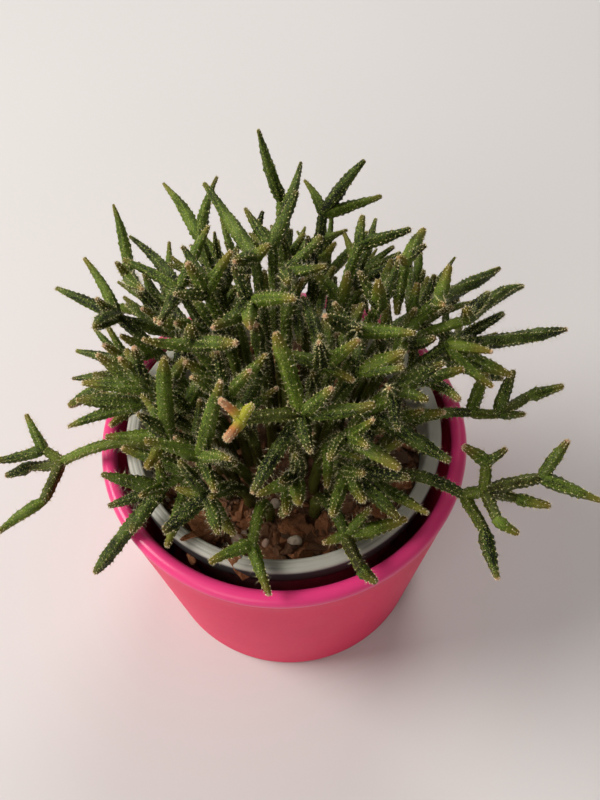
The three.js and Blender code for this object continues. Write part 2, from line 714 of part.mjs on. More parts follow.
// The potting mix: a rough-topped fill with bark chips and pebbles on it, and a plain hole for every cane.
function pottingMix(plant) {
    const draw = new Draw(41);
    const foot = LINER_FLOOR + SEAT_GAP;
    const vertices = [0, 0, foot];
    const faces = [];
    const shoulder = SOIL_SURFACE - SOIL_SHOULDER;
    const rows = [
        { radius: soilRadius(foot), height: foot },
        { radius: soilRadius(shoulder), height: shoulder },
    ];
    for (let k = 1; k < SOIL_RINGS; k += 1) {
        const radius = soilRadius(SOIL_SURFACE) * (1 - k / SOIL_RINGS);
        rows.push({ radius, height: SOIL_SURFACE, rough: true });
    }
    for (const row of rows) {
        for (let k = 0; k < SOIL_SIDES; k += 1) {
            const turn = 2 * Math.PI * k / SOIL_SIDES;
            const lift = row.rough ? draw.around(SOIL_ROUGHNESS) : 0;
            vertices.push(row.radius * Math.cos(turn), row.radius * Math.sin(turn), row.height + lift);
        }
    }
    const peak = vertices.length / 3;
    vertices.push(0, 0, SOIL_SURFACE);
    for (let k = 0; k < SOIL_SIDES; k += 1) {
        const next = (k + 1) % SOIL_SIDES;
        faces.push(0, 1 + next, 1 + k);
        for (let row = 0; row + 1 < rows.length; row += 1) {
            const low = 1 + row * SOIL_SIDES;
            const high = low + SOIL_SIDES;
            faces.push(low + k, low + next, high + next, low + k, high + next, high + k);
        }
        faces.push(peak - SOIL_SIDES + k, peak - SOIL_SIDES + next, peak);
    }
    const geometry = new THREE.BufferGeometry();
    geometry.setAttribute("position", new THREE.Float32BufferAttribute(vertices, 3));
    geometry.setIndex(faces);
    let mix = solidOf(geometry);

    for (let k = 0; k < BARK_CHIPS + PEBBLES; k += 1) {
        const size = PIECE_SCALE.least + PIECE_SCALE.range * draw.next();
        const piece = k < BARK_CHIPS
            ? new THREE.BoxGeometry(BARK_SIZE.x * size, BARK_SIZE.y * size, BARK_SIZE.z)
            : new THREE.IcosahedronGeometry(PEBBLE_RADIUS * size);
        const far = (soilRadius(SOIL_SURFACE) - PIECE_MARGIN) * Math.sqrt(draw.next());
        const turn = 2 * Math.PI * draw.next();
        piece.rotateX(draw.around(PIECE_TILT));
        piece.rotateY(draw.around(PIECE_TILT));
        piece.rotateZ(draw.around(Math.PI));
        piece.translate(far * Math.cos(turn), far * Math.sin(turn), SOIL_SURFACE);
        mix = mix.add(solidOf(piece));
    }
    const width = 2 * POT_RIM_RADIUS;
    const above = new THREE.BoxGeometry(width, width, width).translate(0, 0, SOIL_TOP + width / 2);
    mix = smoothed(mix.subtract(solidOf(above)));

    const reach = (CANE_RADIUS + ROOT_CLEARANCE) / Math.cos(Math.PI / HOLE_SIDES);
    for (const stems of plant.sprays.values()) {
        for (const stem of stems) {
            if (stem.rooted) {
                const root = stem.points[0];
                const hole = [point(root.x, root.y, root.z - ROOT_CLEARANCE), stem.points[1]];
                mix = mix.subtract(bar(hole, [reach, reach], HOLE_SIDES));
            }
        }
    }
    return mix;
}

// Whether every edge still joins just two faces once the corners are rounded to a fine grid.
function isSound(solid) {
    const { vertProperties, triVerts } = solid.getMesh();
    return [0, 0.5].every((shift) => {
        const keyOf = (i) => [0, 1, 2]
            .map((k) => Math.round(vertProperties[3 * i + k] * PLACES_PER_MM + shift)).join(",");
        const edges = new Set();
        for (let i = 0; i < triVerts.length; i += 3) {
            const corners = [0, 1, 2].map((k) => keyOf(triVerts[i + k]));
            for (let k = 0; k < 3; k += 1) {
                const [from, to] = [corners[k], corners[(k + 1) % 3]];
                const edge = `${from} ${to}`;
                if (from === to || edges.has(edge)) {
                    return false;
                }
                edges.add(edge);
            }
        }
        return true;
    });
}

// A joined solid without its smallest edges, and with any hollow closed in between its pieces filled.
function smoothed(joined) {
    const whole = joined.asOriginal();
    for (const edge of SMALLEST_EDGES) {
        const shells = whole.simplify(edge).decompose();
        const outer = shells.reduce((most, shell) => (shell.volume() > most.volume() ? shell : most));
        if (isSound(outer)) {
            return outer;
        }
    }
    throw new Error("the joined pieces leave no sound solid");
}

// The fused stems of one spray.
function sprayOf(stems) {
    return smoothed(join(stems.map((stem) => bar(stem.points, stem.radii, stem.sides))));
}

const looks = {
    pot_gloss: new THREE.MeshStandardMaterial({ color: "#d52a78", roughness: 0.22, metalness: 0 }),
    liner: new THREE.MeshStandardMaterial({ color: "#8c9a96", roughness: 0.42, metalness: 0 }),
    mix: new THREE.MeshStandardMaterial({ color: "#6b4630", roughness: 0.95, metalness: 0 }),
    stem: new THREE.MeshStandardMaterial({ color: "#4d6b2e", roughness: 0.6, metalness: 0 }),
};

const group = new THREE.Group();

function place(name, solid, look) {
    const mesh = solid.getMesh();
    const geometry = new THREE.BufferGeometry();
    geometry.setAttribute("position", new THREE.Float32BufferAttribute(mesh.vertProperties, 3));
    geometry.setIndex(Array.from(mesh.triVerts));
    geometry.computeVertexNormals();
    const part = new THREE.Mesh(geometry, look);
    part.name = name;
    group.add(part);
}

const plant = new Plant(23).grow();
place("outer_pot", outerPot(), looks.pot_gloss);
place("nursery_pot", nurseryPot(), looks.liner);
place("potting_mix", pottingMix(plant), looks.mix);
for (const [name, stems] of plant.sprays) {
    if (stems.length > 0) {
        place(`stems_${name}`, sprayOf(stems), looks.stem);
    }
}

export default group;
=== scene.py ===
"""A potted rhipsalis: a mound of bristly, forking stems in a nursery pot that stands in a glossy outer pot.

Sizes are millimetres in the frame's own axes, +Z up and the front towards -Y. Meshes turn them into metres.
The plant grows by the same seeded rule as its solids, and each spray's mesh stands for the spray's node.
"""

import logging
import math
from collections.abc import Callable
from dataclasses import dataclass, field
from enum import Enum
from typing import Any

import bmesh
import bpy
import numpy as np
from mathutils import Matrix, Vector, noise


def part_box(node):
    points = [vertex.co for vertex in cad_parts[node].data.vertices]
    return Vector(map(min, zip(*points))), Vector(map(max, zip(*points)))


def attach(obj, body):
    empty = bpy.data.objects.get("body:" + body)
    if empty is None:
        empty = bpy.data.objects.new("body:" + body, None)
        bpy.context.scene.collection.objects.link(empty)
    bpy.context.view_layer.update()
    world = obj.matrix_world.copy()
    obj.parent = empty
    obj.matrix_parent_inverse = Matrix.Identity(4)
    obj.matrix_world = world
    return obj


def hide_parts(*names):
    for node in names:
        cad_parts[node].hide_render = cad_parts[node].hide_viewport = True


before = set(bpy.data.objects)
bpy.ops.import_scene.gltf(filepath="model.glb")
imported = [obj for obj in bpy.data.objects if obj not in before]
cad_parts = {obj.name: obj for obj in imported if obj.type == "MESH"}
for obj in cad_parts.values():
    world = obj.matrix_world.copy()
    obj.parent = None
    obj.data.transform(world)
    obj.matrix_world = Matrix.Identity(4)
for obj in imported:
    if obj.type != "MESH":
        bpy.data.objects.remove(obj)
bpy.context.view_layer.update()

log = logging.getLogger("rhipsalis")

MM = 0.001
BODY = "root"

Array = np.ndarray
Colour = tuple[float, float, float, float]
Range = tuple[float, float]
Place = tuple[float, float]


def paint(red: int, green: int, blue: int) -> Colour:
    """The light that a paint sends back, worked out from how it looks.

    Args:
        red: How red it looks, 0 to 255.
        green: How green it looks, 0 to 255.
        blue: How blue it looks, 0 to 255.

    Returns:
        The linear colour, with full cover.
    """
    linear = [((part / 255 + 0.055) / 1.055) ** 2.4 for part in (red, green, blue)]
    return (*linear, 1.0)


def spot(x: float, y: float, z: float) -> Array:
    """A place or a way in space."""
    return np.array([x, y, z], float)


def unit(ways: Array) -> Array:
    """The ways, each one long."""
    return ways / np.maximum(np.linalg.norm(ways, axis=-1, keepdims=True), 1e-9)


class Signal:
    """A shader socket that can be added and multiplied. Each sum or product adds a Math node."""

    def __init__(self, sheet: "NodeSheet", socket: bpy.types.NodeSocket) -> None:
        """Holds a socket of a sheet."""
        self.sheet = sheet
        self.socket = socket

    def _math(self, operation: str, first: Any, second: Any) -> "Signal":
        """The outcome of one Math node."""
        return self.sheet.add("ShaderNodeMath", {"operation": operation}, {0: first, 1: second})

    def __add__(self, other: Any) -> "Signal":
        """This and another, added."""
        return self._math("ADD", self, other)

    def __sub__(self, other: Any) -> "Signal":
        """This less another."""
        return self._math("SUBTRACT", self, other)

    def __rsub__(self, other: Any) -> "Signal":
        """Another less this."""
        return self._math("SUBTRACT", other, self)

    def __mul__(self, other: Any) -> "Signal":
        """This times another."""
        return self._math("MULTIPLY", self, other)

    __radd__ = __add__


class NodeSheet:
    """The nodes of one material."""

    def __init__(self, name: str) -> None:
        """Starts an empty material."""
        self.material = bpy.data.materials.new(name)
        self.material.use_nodes = True
        self.tree = self.material.node_tree
        self.tree.nodes.clear()

    @staticmethod
    def _socket(sockets: Any, key: int | str) -> bpy.types.NodeSocket:
        """The socket with a place in the row, an identifier or a name."""
        if isinstance(key, int):
            return sockets[key]
        return next(socket for socket in sockets if key in (socket.identifier, socket.name))

    def add(
        self,
        kind: str,
        settings: dict[str, Any] | None = None,
        inputs: dict[int | str, Any] | None = None,
        output: int | str = 0,
    ) -> Signal | None:
        """Adds a node.

        Args:
            kind: The node's type.
            settings: Its settings, set first.
            inputs: Values or signals for its sockets, by place, identifier or name.
            output: The socket that the signal comes from.

        Returns:
            The signal that the node gives, if it gives one.
        """
        node = self.tree.nodes.new(kind)
        for name, value in (settings or {}).items():
            setattr(node, name, value)
        for key, value in (inputs or {}).items():
            socket = self._socket(node.inputs, key)
            if isinstance(value, Signal):
                self.tree.links.new(value.socket, socket)
            else:
                socket.default_value = value
        return Signal(self, self._socket(node.outputs, output)) if node.outputs else None

    def mix(self, share: Any, first: Any, second: Any) -> Signal:
        """A colour between two others."""
        inputs = {"Factor_Float": share, "A_Color": first, "B_Color": second}
        return self.add("ShaderNodeMix", {"data_type": "RGBA"}, inputs, "Result_Color")

    def value(self, name: str) -> Signal:
        """A value that the mesh holds at its vertices."""
        return self.add("ShaderNodeAttribute", {"attribute_name": name}, output="Fac")

    def grain(self, size: float, detail: float = 2.0, rough: float = 0.5) -> Signal:
        """Cloudy variation from 0 to 1.

        Args:
            size: How wide a cloud is, in millimetres.
            detail: How many finer layers it has.
            rough: How strong the finer layers are.

        Returns:
            The variation.
        """
        place = self.add("ShaderNodeTexCoord", output="Object")
        inputs = {"Vector": place, "Scale": 1 / (size * MM), "Detail": detail, "Roughness": rough}
        return self.add("ShaderNodeTexNoise", None, inputs)

    def band(self, signal: Signal, low: float, high: float) -> Signal:
        """A signal stretched so that low becomes 0 and high becomes 1, and held there."""
        inputs = {"Value": signal, "From Min": low, "From Max": high}
        return self.add("ShaderNodeMapRange", {"clamp": True}, inputs)

    def bump(self, height: Signal, depth: float) -> Signal:
        """The normal of a surface with relief, from its height, 0 to 1, and its depth in millimetres."""
        return self.add("ShaderNodeBump", None, {"Height": height, "Distance": depth * MM, "Strength": 1.0})

    def surface(self, **sockets: Any) -> bpy.types.Material:
        """The material, from the values and signals of its shader's sockets, named with _ for a space."""
        inputs = {name.replace("_", " "): value for name, value in sockets.items()}
        shader = self.add("ShaderNodeBsdfPrincipled", None, inputs)
        self.add("ShaderNodeOutputMaterial", None, {"Surface": shader})
        return self.material


@dataclass(frozen=True)
class StemSkin:
    """The wax-coated skin of the stems: dark green, woody low down, olive and then rosy at the tips.

    The valleys between the ribs carry painted shade and a painted sheen.
    """

    # The deep green falls in random clouds, and as painted shade in the valleys between the ribs.
    deep: Colour = paint(9, 18, 1)
    leafy: Colour = paint(102, 125, 32)
    # A paler bluish green in the valleys between the ribs: a painted sheen of the wax-coated skin.
    painted_sheen: Colour = paint(150, 166, 98)
    speck: Colour = paint(178, 180, 96)
    olive: Colour = paint(138, 108, 40)
    rosy: Colour = paint(208, 160, 124)
    lime: Colour = paint(162, 160, 50)
    amber: Colour = paint(178, 114, 66)
    woody: Colour = paint(88, 76, 30)
    cloud_size: float = 9
    speckle_size: float = 0.55
    dot_size: float = 0.5
    ripple_size: float = 1.4
    relief: float = 0.62
    scatter: float = 1.2

    def material(self) -> bpy.types.Material:
        """The material."""
        sheet = NodeSheet("stem_skin")
        tone, crest, youth = sheet.value("tone"), sheet.value("crest"), sheet.value("youth")
        clouds = sheet.grain(self.cloud_size)
        speckle = sheet.grain(self.speckle_size, 3, 0.6)
        # Painted shade: the crest term keeps the ribs lighter and darkens the valleys toward the deep green.
        depth = sheet.band(clouds * 0.6 + tone * 0.35 + speckle + crest * 0.25, 0.85, 1.46)
        green = sheet.mix(depth, self.deep, self.leafy)
        # Painted sheen: the paler bluish green goes into the valleys, in clouds.
        green_with_painted_sheen = sheet.mix((1 - crest) * sheet.band(clouds, 0.45, 0.75) * 0.3, green, self.painted_sheen)
        dots = sheet.band(sheet.grain(self.dot_size, 1), 0.6, 0.7)
        dotted = sheet.mix(dots * 0.6, green_with_painted_sheen, self.speck)
        barky = sheet.mix(sheet.value("wood") * 0.8, dotted, self.woody)
        ripe = sheet.band(youth * 0.8 + tone * 0.5 + clouds * 0.3, 0.6, 1.3)
        warm = sheet.mix(ripe * 0.65, barky, self.olive)
        tipped = sheet.mix(sheet.band(youth, 0.86, 0.96) * 0.85, warm, self.rosy)
        new = sheet.mix(sheet.band(youth - tone, 0.2, 0.65), self.lime, self.amber)
        new = sheet.mix(sheet.band(youth - tone, 0.68, 0.98) * 0.8, new, self.rosy)
        return sheet.surface(
            Base_Color=sheet.mix(sheet.value("fresh"), tipped, new),
            Roughness=0.46 + speckle * 0.24,
            Normal=sheet.bump(speckle * 0.5 + sheet.grain(self.ripple_size) * 0.5, self.relief),
            Specular_IOR_Level=0.18,
            Subsurface_Weight=0.06,
            Subsurface_Scale=self.scatter * MM,
        )


@dataclass(frozen=True)
class AreoleFelt:
    """The cream felt of the areoles and their white bristles, rosier and rustier at the tips."""

    cream: Colour = paint(226, 214, 146)
    rosy: Colour = paint(240, 212, 182)
    rust: Colour = paint(150, 92, 48)
    white: Colour = paint(214, 208, 176)
    straw: Colour = paint(176, 160, 106)
    cloud_size: float = 3
    fleck_size: float = 1.2

    def material(self) -> bpy.types.Material:
        """The material."""
        sheet = NodeSheet("areole_felt")
        youth, hair = sheet.value("youth"), sheet.value("hair")
        clouds = sheet.grain(self.cloud_size, 3)
        flecks = sheet.band(sheet.grain(self.fleck_size, 1), 0.56, 0.66)
        felt = sheet.mix(sheet.band(youth, 0.35, 0.95) * sheet.band(clouds, 0.35, 0.6), self.cream, self.rosy)
        rusty = sheet.mix(flecks * (0.25 + youth * 0.1), felt, self.rust)
        bristle = sheet.mix(sheet.band(clouds, 0.35, 0.75), self.white, self.straw)
        return sheet.surface(
            Base_Color=sheet.mix(hair, rusty, bristle), Roughness=0.6 + clouds * 0.25, Sheen_Weight=0.2
        )


@dataclass(frozen=True)
class PotGlaze:
    """The satin magenta finish of the outer pot, with a painted highlight in the colour of its lip."""

    rose: Colour = paint(238, 52, 98)
    plum: Colour = paint(228, 44, 92)
    # A lighter, bluer magenta on the rolled lip: a painted highlight along its roll.
    lip: Colour = paint(234, 60, 126)
    cloud_size: float = 42
    ripple_size: float = 1.4

    def material(self) -> bpy.types.Material:
        """The material."""
        sheet = NodeSheet("pot_glaze")
        clouds, lip = sheet.grain(self.cloud_size), sheet.value("lip")
        wall = sheet.mix(sheet.band(clouds, 0.3, 0.7), self.rose, self.plum)
        return sheet.surface(
            # Painted highlight: the lip takes the lighter colour.
            Base_Color=sheet.mix(lip, wall, self.lip),
            Roughness=0.34 + sheet.grain(self.ripple_size, 3) * 0.1,
            Specular_IOR_Level=0.06,
            Coat_Weight=lip * 0.8,
            Coat_Roughness=0.3,
        )


@dataclass(frozen=True)
class GreyPlastic:
    """The satin grey plastic of the nursery pot, dusty and lightly scuffed, with painted shade below its edge
    on the outside.
    """

    grey: Colour = paint(182, 180, 168)
    dull: Colour = paint(166, 163, 150)
    dust: Colour = paint(170, 156, 134)
    # Painted shade: the dark grey of the outside below the edge, where the gap between the pots lies in
    # shadow.
    low: Colour = paint(54, 56, 56)
    cloud_size: float = 12
    speck_size: float = 0.9
    grain_size: float = 1.1
    relief: float = 0.02

    def material(self) -> bpy.types.Material:
        """The material."""
        sheet = NodeSheet("grey_plastic")
        clouds = sheet.grain(self.cloud_size, 3)
        specks = sheet.band(sheet.grain(self.speck_size, 4, 0.7), 0.64, 0.8)
        worn = sheet.mix(clouds, self.grey, self.dull)
        edge = sheet.mix(specks * 0.4, worn, self.dust)
        return sheet.surface(
            # Painted shade below the edge, on the outside.
            Base_Color=sheet.mix(sheet.value("below"), edge, self.low),
            Roughness=0.5 + clouds * 0.14 + specks * 0.2,
            Normal=sheet.bump(sheet.grain(self.grain_size, 3), self.relief),
        )


@dataclass(frozen=True)
class Bark:
    """Shredded, reddish bark, in layers and splinters."""

    red: Colour = paint(164, 104, 64)
    brown: Colour = paint(92, 64, 42)
    black: Colour = paint(44, 32, 22)
    pale: Colour = paint(196, 152, 112)
    cloud_size: float = 5
    fibre_size: float = 0.7
    relief: float = 0.9

    def material(self) -> bpy.types.Material:
        """The material."""
        sheet = NodeSheet("bark")
        tone = sheet.value("tone")
        clouds = sheet.grain(self.cloud_size, 3, 0.6)
        fibres = sheet.grain(self.fibre_size, 4, 0.7)
        ground = sheet.mix(sheet.band(clouds * 0.6 + tone * 0.9, 0.35, 1.15), self.brown, self.red)
        splintered = sheet.mix(sheet.band(fibres, 0.6, 0.75) * 0.6, ground, self.pale)
        return sheet.surface(
            Base_Color=sheet.mix(sheet.band(fibres, 0.42, 0.3) * 0.8, splintered, self.black),
            Roughness=0.78 + fibres * 0.2,
            Normal=sheet.bump(fibres * 0.7 + clouds * 0.3, self.relief),
        )


@dataclass(frozen=True)
class Pumice:
    """Pale, pitted pumice with a little soil on it."""

    cream: Colour = paint(226, 208, 184)
    pink: Colour = paint(208, 172, 150)
    soiled: Colour = paint(140, 108, 84)
    pit_size: float = 0.6
    stain_size: float = 3.5
    relief: float = 0.4

    def material(self) -> bpy.types.Material:
        """The material."""
        sheet = NodeSheet("pumice")
        stain = sheet.band(sheet.grain(self.stain_size, 3), 0.54, 0.74)
        ground = sheet.mix(sheet.value("tone"), self.cream, self.pink)
        return sheet.surface(
            Base_Color=sheet.mix(stain * 0.6, ground, self.soiled),
            Roughness=0.9,
            Normal=sheet.bump(sheet.grain(self.pit_size, 3, 0.6), self.relief),
        )


@dataclass(frozen=True)
class PaleFloor:
    """A plain pale floor."""

    pale: Colour = paint(211, 208, 206)
    paler: Colour = paint(216, 213, 211)
    cloud_size: float = 300

    def material(self) -> bpy.types.Material:
        """The material."""
        sheet = NodeSheet("pale_floor")
        colour = sheet.mix(sheet.grain(self.cloud_size), self.pale, self.paler)
        return sheet.surface(Base_Color=colour, Roughness=0.75)


class Clay:
    """Vertices, faces and values at the vertices, gathered for one piece, in millimetres."""

    def __init__(self, *values: str) -> None:
        """Starts empty, with the names of the values that each vertex will hold."""
        self.places: list[Array] = []
        self.faces: list[list[int]] = []
        self.values: dict[str, list[Array]] = {name: [] for name in values}
        self.count = 0

    def add(self, places: Array, faces: Any, **values: Any) -> None:
        """Adds a closed form.

        Args:
            places: Its vertices.
            faces: Its faces, as rows of vertex numbers.
            **values: For each named value, one number or one for each vertex.
        """
        rows = faces.tolist() if isinstance(faces, np.ndarray) else faces
        self.faces.extend([corner + self.count for corner in row] for row in rows)
        self.places.append(places)
        for name, held in self.values.items():
            held.append(np.broadcast_to(np.asarray(values[name], float), (len(places),)))
        self.count += len(places)

    def piece(self, name: str, finish: bpy.types.Material, smooth: bool = True) -> bpy.types.Object:
        """Makes the piece.

        Args:
            name: The piece's name.
            finish: Its material.
            smooth: Whether its faces are shaded smooth.

        Returns:
            The piece, riding on the body.
        """
        mesh = bpy.data.meshes.new(name)
        mesh.from_pydata((np.concatenate(self.places) * MM).tolist(), [], self.faces)
        for key, held in self.values.items():
            layer = mesh.attributes.new(key, "FLOAT", "POINT")
            layer.data.foreach_set("value", np.concatenate(held).astype(np.float32))
        if smooth:
            mesh.shade_smooth()
        mesh.materials.append(finish)
        piece = bpy.data.objects.new(name, mesh)
        bpy.context.collection.objects.link(piece)
        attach(piece, BODY)
        log.info("%s: %d vertices, %d faces", name, len(mesh.vertices), len(mesh.polygons))
        return piece


def round_corner(centre: Place, radius: float, start: float, end: float, count: int) -> list[Place]:
    """Places round part of a circle.

    Args:
        centre: Its middle, as radius and height.
        radius: Its radius.
        start: The angle of its first place, in degrees up from outward.
        end: The angle of its last place.
        count: How many places.

    Returns:
        The places, as radius and height.
    """
    turns = np.radians(np.linspace(start, end, count))
    return [(centre[0] + radius * math.cos(turn), centre[1] + radius * math.sin(turn)) for turn in turns]


def straight(start: Place, end: Place, count: int) -> list[Place]:
    """Evenly spaced places from a start to an end, both of them included, as radius and height."""
    return list(zip(np.linspace(start[0], end[0], count), np.linspace(start[1], end[1], count)))


def turned(profile: list[Place], sides: int) -> tuple[Array, list]:
    """A closed form turned about the upright axis.

    Args:
        profile: Radius and height of each place, from the axis round the outside and back to the axis.
        sides: How many sides it has.

    Returns:
        Its vertices and faces.
    """
    turns = 2 * np.pi * np.arange(sides) / sides
    rows = [np.stack([r * np.cos(turns), r * np.sin(turns), np.full(sides, z)], 1) for r, z in profile[1:-1]]
    places = np.concatenate([*rows, [spot(0, 0, profile[0][1]), spot(0, 0, profile[-1][1])]])
    first, last = len(rows) * sides, len(rows) * sides + 1
    faces = []
    for k in range(sides):
        after = (k + 1) % sides
        for low in range(0, first - sides, sides):
            faces.append([low + k, low + after, low + sides + after, low + sides + k])
        faces.append([first, after, k])
        faces.append([last, first - sides + k, first - sides + after])
    return places, faces


@dataclass
class OuterPot:
    """The glossy outer pot: a tapering wall with a rolled lip."""

    foot_radius: float = 60
    foot_round: float = 2.4
    foot_ring: Range = (8, 9)
    foot_hollow: float = 0.4
    wall: float = 3.4
    floor: float = 5
    lip_half: float = 3
    lip_drop: float = 4.6
    lip_proud: float = 0.4
    lip_tuck: float = 1.3
    lip_inset: float = 0.06
    sides: int = 180
    wall_steps: int = 12

    def build(self) -> bpy.types.Object:
        """Makes the pot in the place of its solid."""
        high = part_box("outer_pot")[1]
        radius, height = high.x / MM, high.z / MM
        half, rounding = self.lip_half, self.foot_round
        middle = radius - half
        wall_top = height - self.lip_drop
        inner_foot = self.foot_radius - self.wall
        inner_top = middle - half + self.lip_proud
        profile = [
            (0, self.foot_hollow),
            (self.foot_radius - self.foot_ring[1], self.foot_hollow),
            (self.foot_radius - self.foot_ring[0], 0),
            *round_corner((self.foot_radius - rounding, rounding), rounding, -90, -6, 7),
            *straight((self.foot_radius, rounding), (radius - self.lip_proud, wall_top), self.wall_steps),
            (radius - self.lip_inset, wall_top + self.lip_tuck),
            *round_corner((middle, height - half), half, 0, 180, 17),
            (middle - half + 2 * self.lip_inset, wall_top + self.lip_tuck),
            *straight((inner_top, wall_top), (inner_foot, self.floor + rounding), self.wall_steps + 1)[:-1],
            *round_corner((inner_foot - rounding, self.floor + rounding), rounding, 0, -90, 6),
            (0, self.floor),
        ]
        clay = Clay("lip")
        places, faces = turned(profile, self.sides)
        clay.add(places, faces, lip=places[:, 2] > wall_top + self.lip_inset)
        pot = clay.piece("outer_pot_glazed", PotGlaze().material())
        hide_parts("outer_pot")
        return pot


@dataclass
class NurseryPot:
    """The thin grey nursery pot: a broad rolled edge with moulding lines, and a collar below it."""

    opening: float = 54.6
    wall: float = 1.4
    foot_radius: float = 45
    collar: float = 9
    taper: float = 0.5
    bevel: float = 1
    collar_bevel: float = 0.3
    edge_depth: float = 3
    outer_round: float = 1.9
    inner_round: float = 1.3
    inner_drop: float = 0.1
    crown: float = 0.25
    groove: float = 0.1
    grooves: int = 2
    groove_gap: float = 0.6
    lit_depth: float = 0.7
    sides: int = 160
    wall_steps: int = 8
    edge_steps: int = 16

    def build(self) -> bpy.types.Object:
        """Makes the nursery pot in the place of its solid."""
        low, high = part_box("nursery_pot")
        radius, top, foot = high.x / MM, high.z / MM, low.z / MM
        neck = top - self.collar - self.bevel
        inside, outside = self.opening, self.opening + self.wall
        inside_foot = self.foot_radius - self.wall
        inner_corner = (inside + self.inner_round, top - self.inner_round - self.inner_drop)
        steps = self.wall_steps + 1
        profile = [
            (0, foot),
            (self.foot_radius - self.bevel, foot),
            *straight((self.foot_radius, foot + self.bevel), (outside - self.taper, neck), steps),
            (outside, top - self.edge_depth),
            (radius - self.wall, top - self.edge_depth),
            (radius - self.wall - self.taper, top - self.collar),
            (radius - self.taper - self.collar_bevel, top - self.collar),
            (radius - self.taper, top - self.collar + self.collar_bevel),
            *round_corner((radius - self.outer_round, top - self.outer_round), self.outer_round, 0, 80, 8),
            *self._edge(radius, top),
            *round_corner(inner_corner, self.inner_round, 100, 180, 7),
            *straight((inside - self.taper, neck), (inside_foot, foot + self.wall), steps)[:-1],
            (inside_foot - self.bevel, foot + self.wall),
            (0, foot + self.wall),
        ]
        clay = Clay("below")
        places, faces = turned(profile, self.sides)
        # Painted shade: the outside darkens below the lit top of the edge, where the gap between the pots
        # lies in shadow.
        outer = np.hypot(places[:, 0], places[:, 1]) > outside
        below = np.clip((top - self.lit_depth - places[:, 2]) / self.lit_depth, 0, 1) * outer
        clay.add(places, faces, below=below)
        pot = clay.piece("nursery_pot_moulded", GreyPlastic().material())
        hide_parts("nursery_pot")
        return pot

    def _edge(self, radius: float, top: float) -> list[Place]:
        """The top of the rolled edge, from outside to inside, with its moulding lines."""
        share = np.linspace(0, 1, self.edge_steps + 1)[1:-1]
        swell = self.crown * (np.sin(np.pi * share) - 1)
        dent = self.groove * np.maximum(np.cos(2 * np.pi * self.grooves * share) - self.groove_gap, 0)
        start, end = radius - self.outer_round, self.opening + self.inner_round
        return list(zip(start + (end - start) * share, top + swell - dent))


PLANT_SEED = 23
POT_HEIGHT = 106
SOIL_TOP = 96

STEM_RADIUS = 2.7
ARM_RADIUS = 2.48
CANE_RADIUS = 2.3
STEM_GAP = 0.55
SOIL_GAP = 0.6
BEAD_STEP = 1.6
SUNK = 1
STEM_BEND = 0.07
STEM_TRIES = 24
STEM_STRAY = 4
ARM_TRIES = 60
FILL_TRIES = 16
FILL_STRAY = 7
LEAST_OUTWARD = 0.2

# Canes come up through the potting mix.
ROOT_DEPTH = 7
ROOT_SPREAD = 43
ROOT_CENTRE = spot(1.5, 2, 0)
ROOT_SHARE = 0.52
ROOT_STRAY = 10
COLLAR_RISE = 3
LEAST_RISE = 6
CANE_TRIES = 90
CANE_LEAN = 0.25
CANE_LIFT = 0.72
CANE_STRAY = spot(16, 16, 6)
CANE_FORK_STEMS = 4
# A cane whose fork lies low and out past the edge of the pot arches over the edge at this height.
ARCH_BEYOND, ARCH_BELOW, ARCH_HEIGHT = 46, 124, 130

# The stem tips reach a mound, and all lead away from one place.
MOUND = spot(3, 14, 104)
MOUND_RADII = spot(92, 80, 82)
STEM_SOURCE = spot(0, 0, 88)

# A spray with no way for a cane of its own joins a fork this near, if it carries fewer stems than this.
JOIN_NEAR, JOIN_FAR, JOIN_MOST = 12, 60, 7

LOWEST_SHARE = -0.12
# No stem but the seen ones ends in front of this.
BARE_FRONT = -60
SHARE_STRAY = 0.03
ROW_STRAY = 4
SEEN_RADIUS_STRAY = 0.1
FILL_RADIUS = 0.96
FILL_RADIUS_STRAY = 0.12
GOLDEN_TURN = 2.399963


@dataclass(frozen=True)
class ForkRow:
    """A row of further forks.

    Attributes:
        facing: Degrees round to its middle.
        height: Degrees above level.
        spread: Degrees to each side of its middle.
        forks: How many forks it has.
        out: How far out they lie, as a share of the mound.
    """

    facing: float
    height: float
    spread: float
    forks: int
    out: float


ROWS = {
    "back_low": ForkRow(90, 16, 84, 6, 0.68),
    "back_middle": ForkRow(90, 36, 72, 5, 0.68),
    "back_high": ForkRow(90, 58, 50, 3, 0.68),
    "front_deep": ForkRow(-90, 34, 80, 5, 0.56),
}


@dataclass(frozen=True)
class FillLayer:
    """A layer of stems between the seen ones.

    Attributes:
        out: How far out its tips lie, as a share of the mound.
        apart: The least distance between tips.
        near: The least distance of a tip from its fork.
        far: The greatest distance.
        most: How many stems fill a fork.
        places: How many places are tried.
        facing: How squarely a place must face the view.
    """

    out: float
    apart: float
    near: float
    far: float
    most: int
    places: int
    facing: float


# The seen stems alone make the outline, so the outer layer leaves its rim free.
LAYERS = (
    FillLayer(0.98, 11, 13, 36, 5, 420, 0.3),
    FillLayer(0.84, 10, 10, 28, 6, 230, 0),
    FillLayer(0.64, 11, 9, 26, 6, 130, 0),
)


class Stage(Enum):
    """How far a stem has grown."""

    GROWN = "grown"
    SHOOT = "shoot"
    BUD = "bud"


@dataclass(frozen=True)
class Seen:
    """A stem tip or a fork as seen from the front.

    Attributes:
        across: Its place across the view.
        down: Its place down the view.
        out: How far out it lies: a share of the mound in the crown, and a height for a trailing stem.
        stems: The stems that a fork carries.
        stage: How far it has grown.
    """

    across: float
    down: float
    out: float
    stems: tuple["Seen", ...] = ()
    stage: Stage = Stage.GROWN


def tip(across: float, down: float, out: float, stage: Stage = Stage.GROWN) -> Seen:
    """A stem's tip."""
    return Seen(across, down, out, stage=stage)


def fork(across: float, down: float, out: float, *stems: Seen) -> Seen:
    """A fork and the stems that it carries."""
    return Seen(across, down, out, stems)


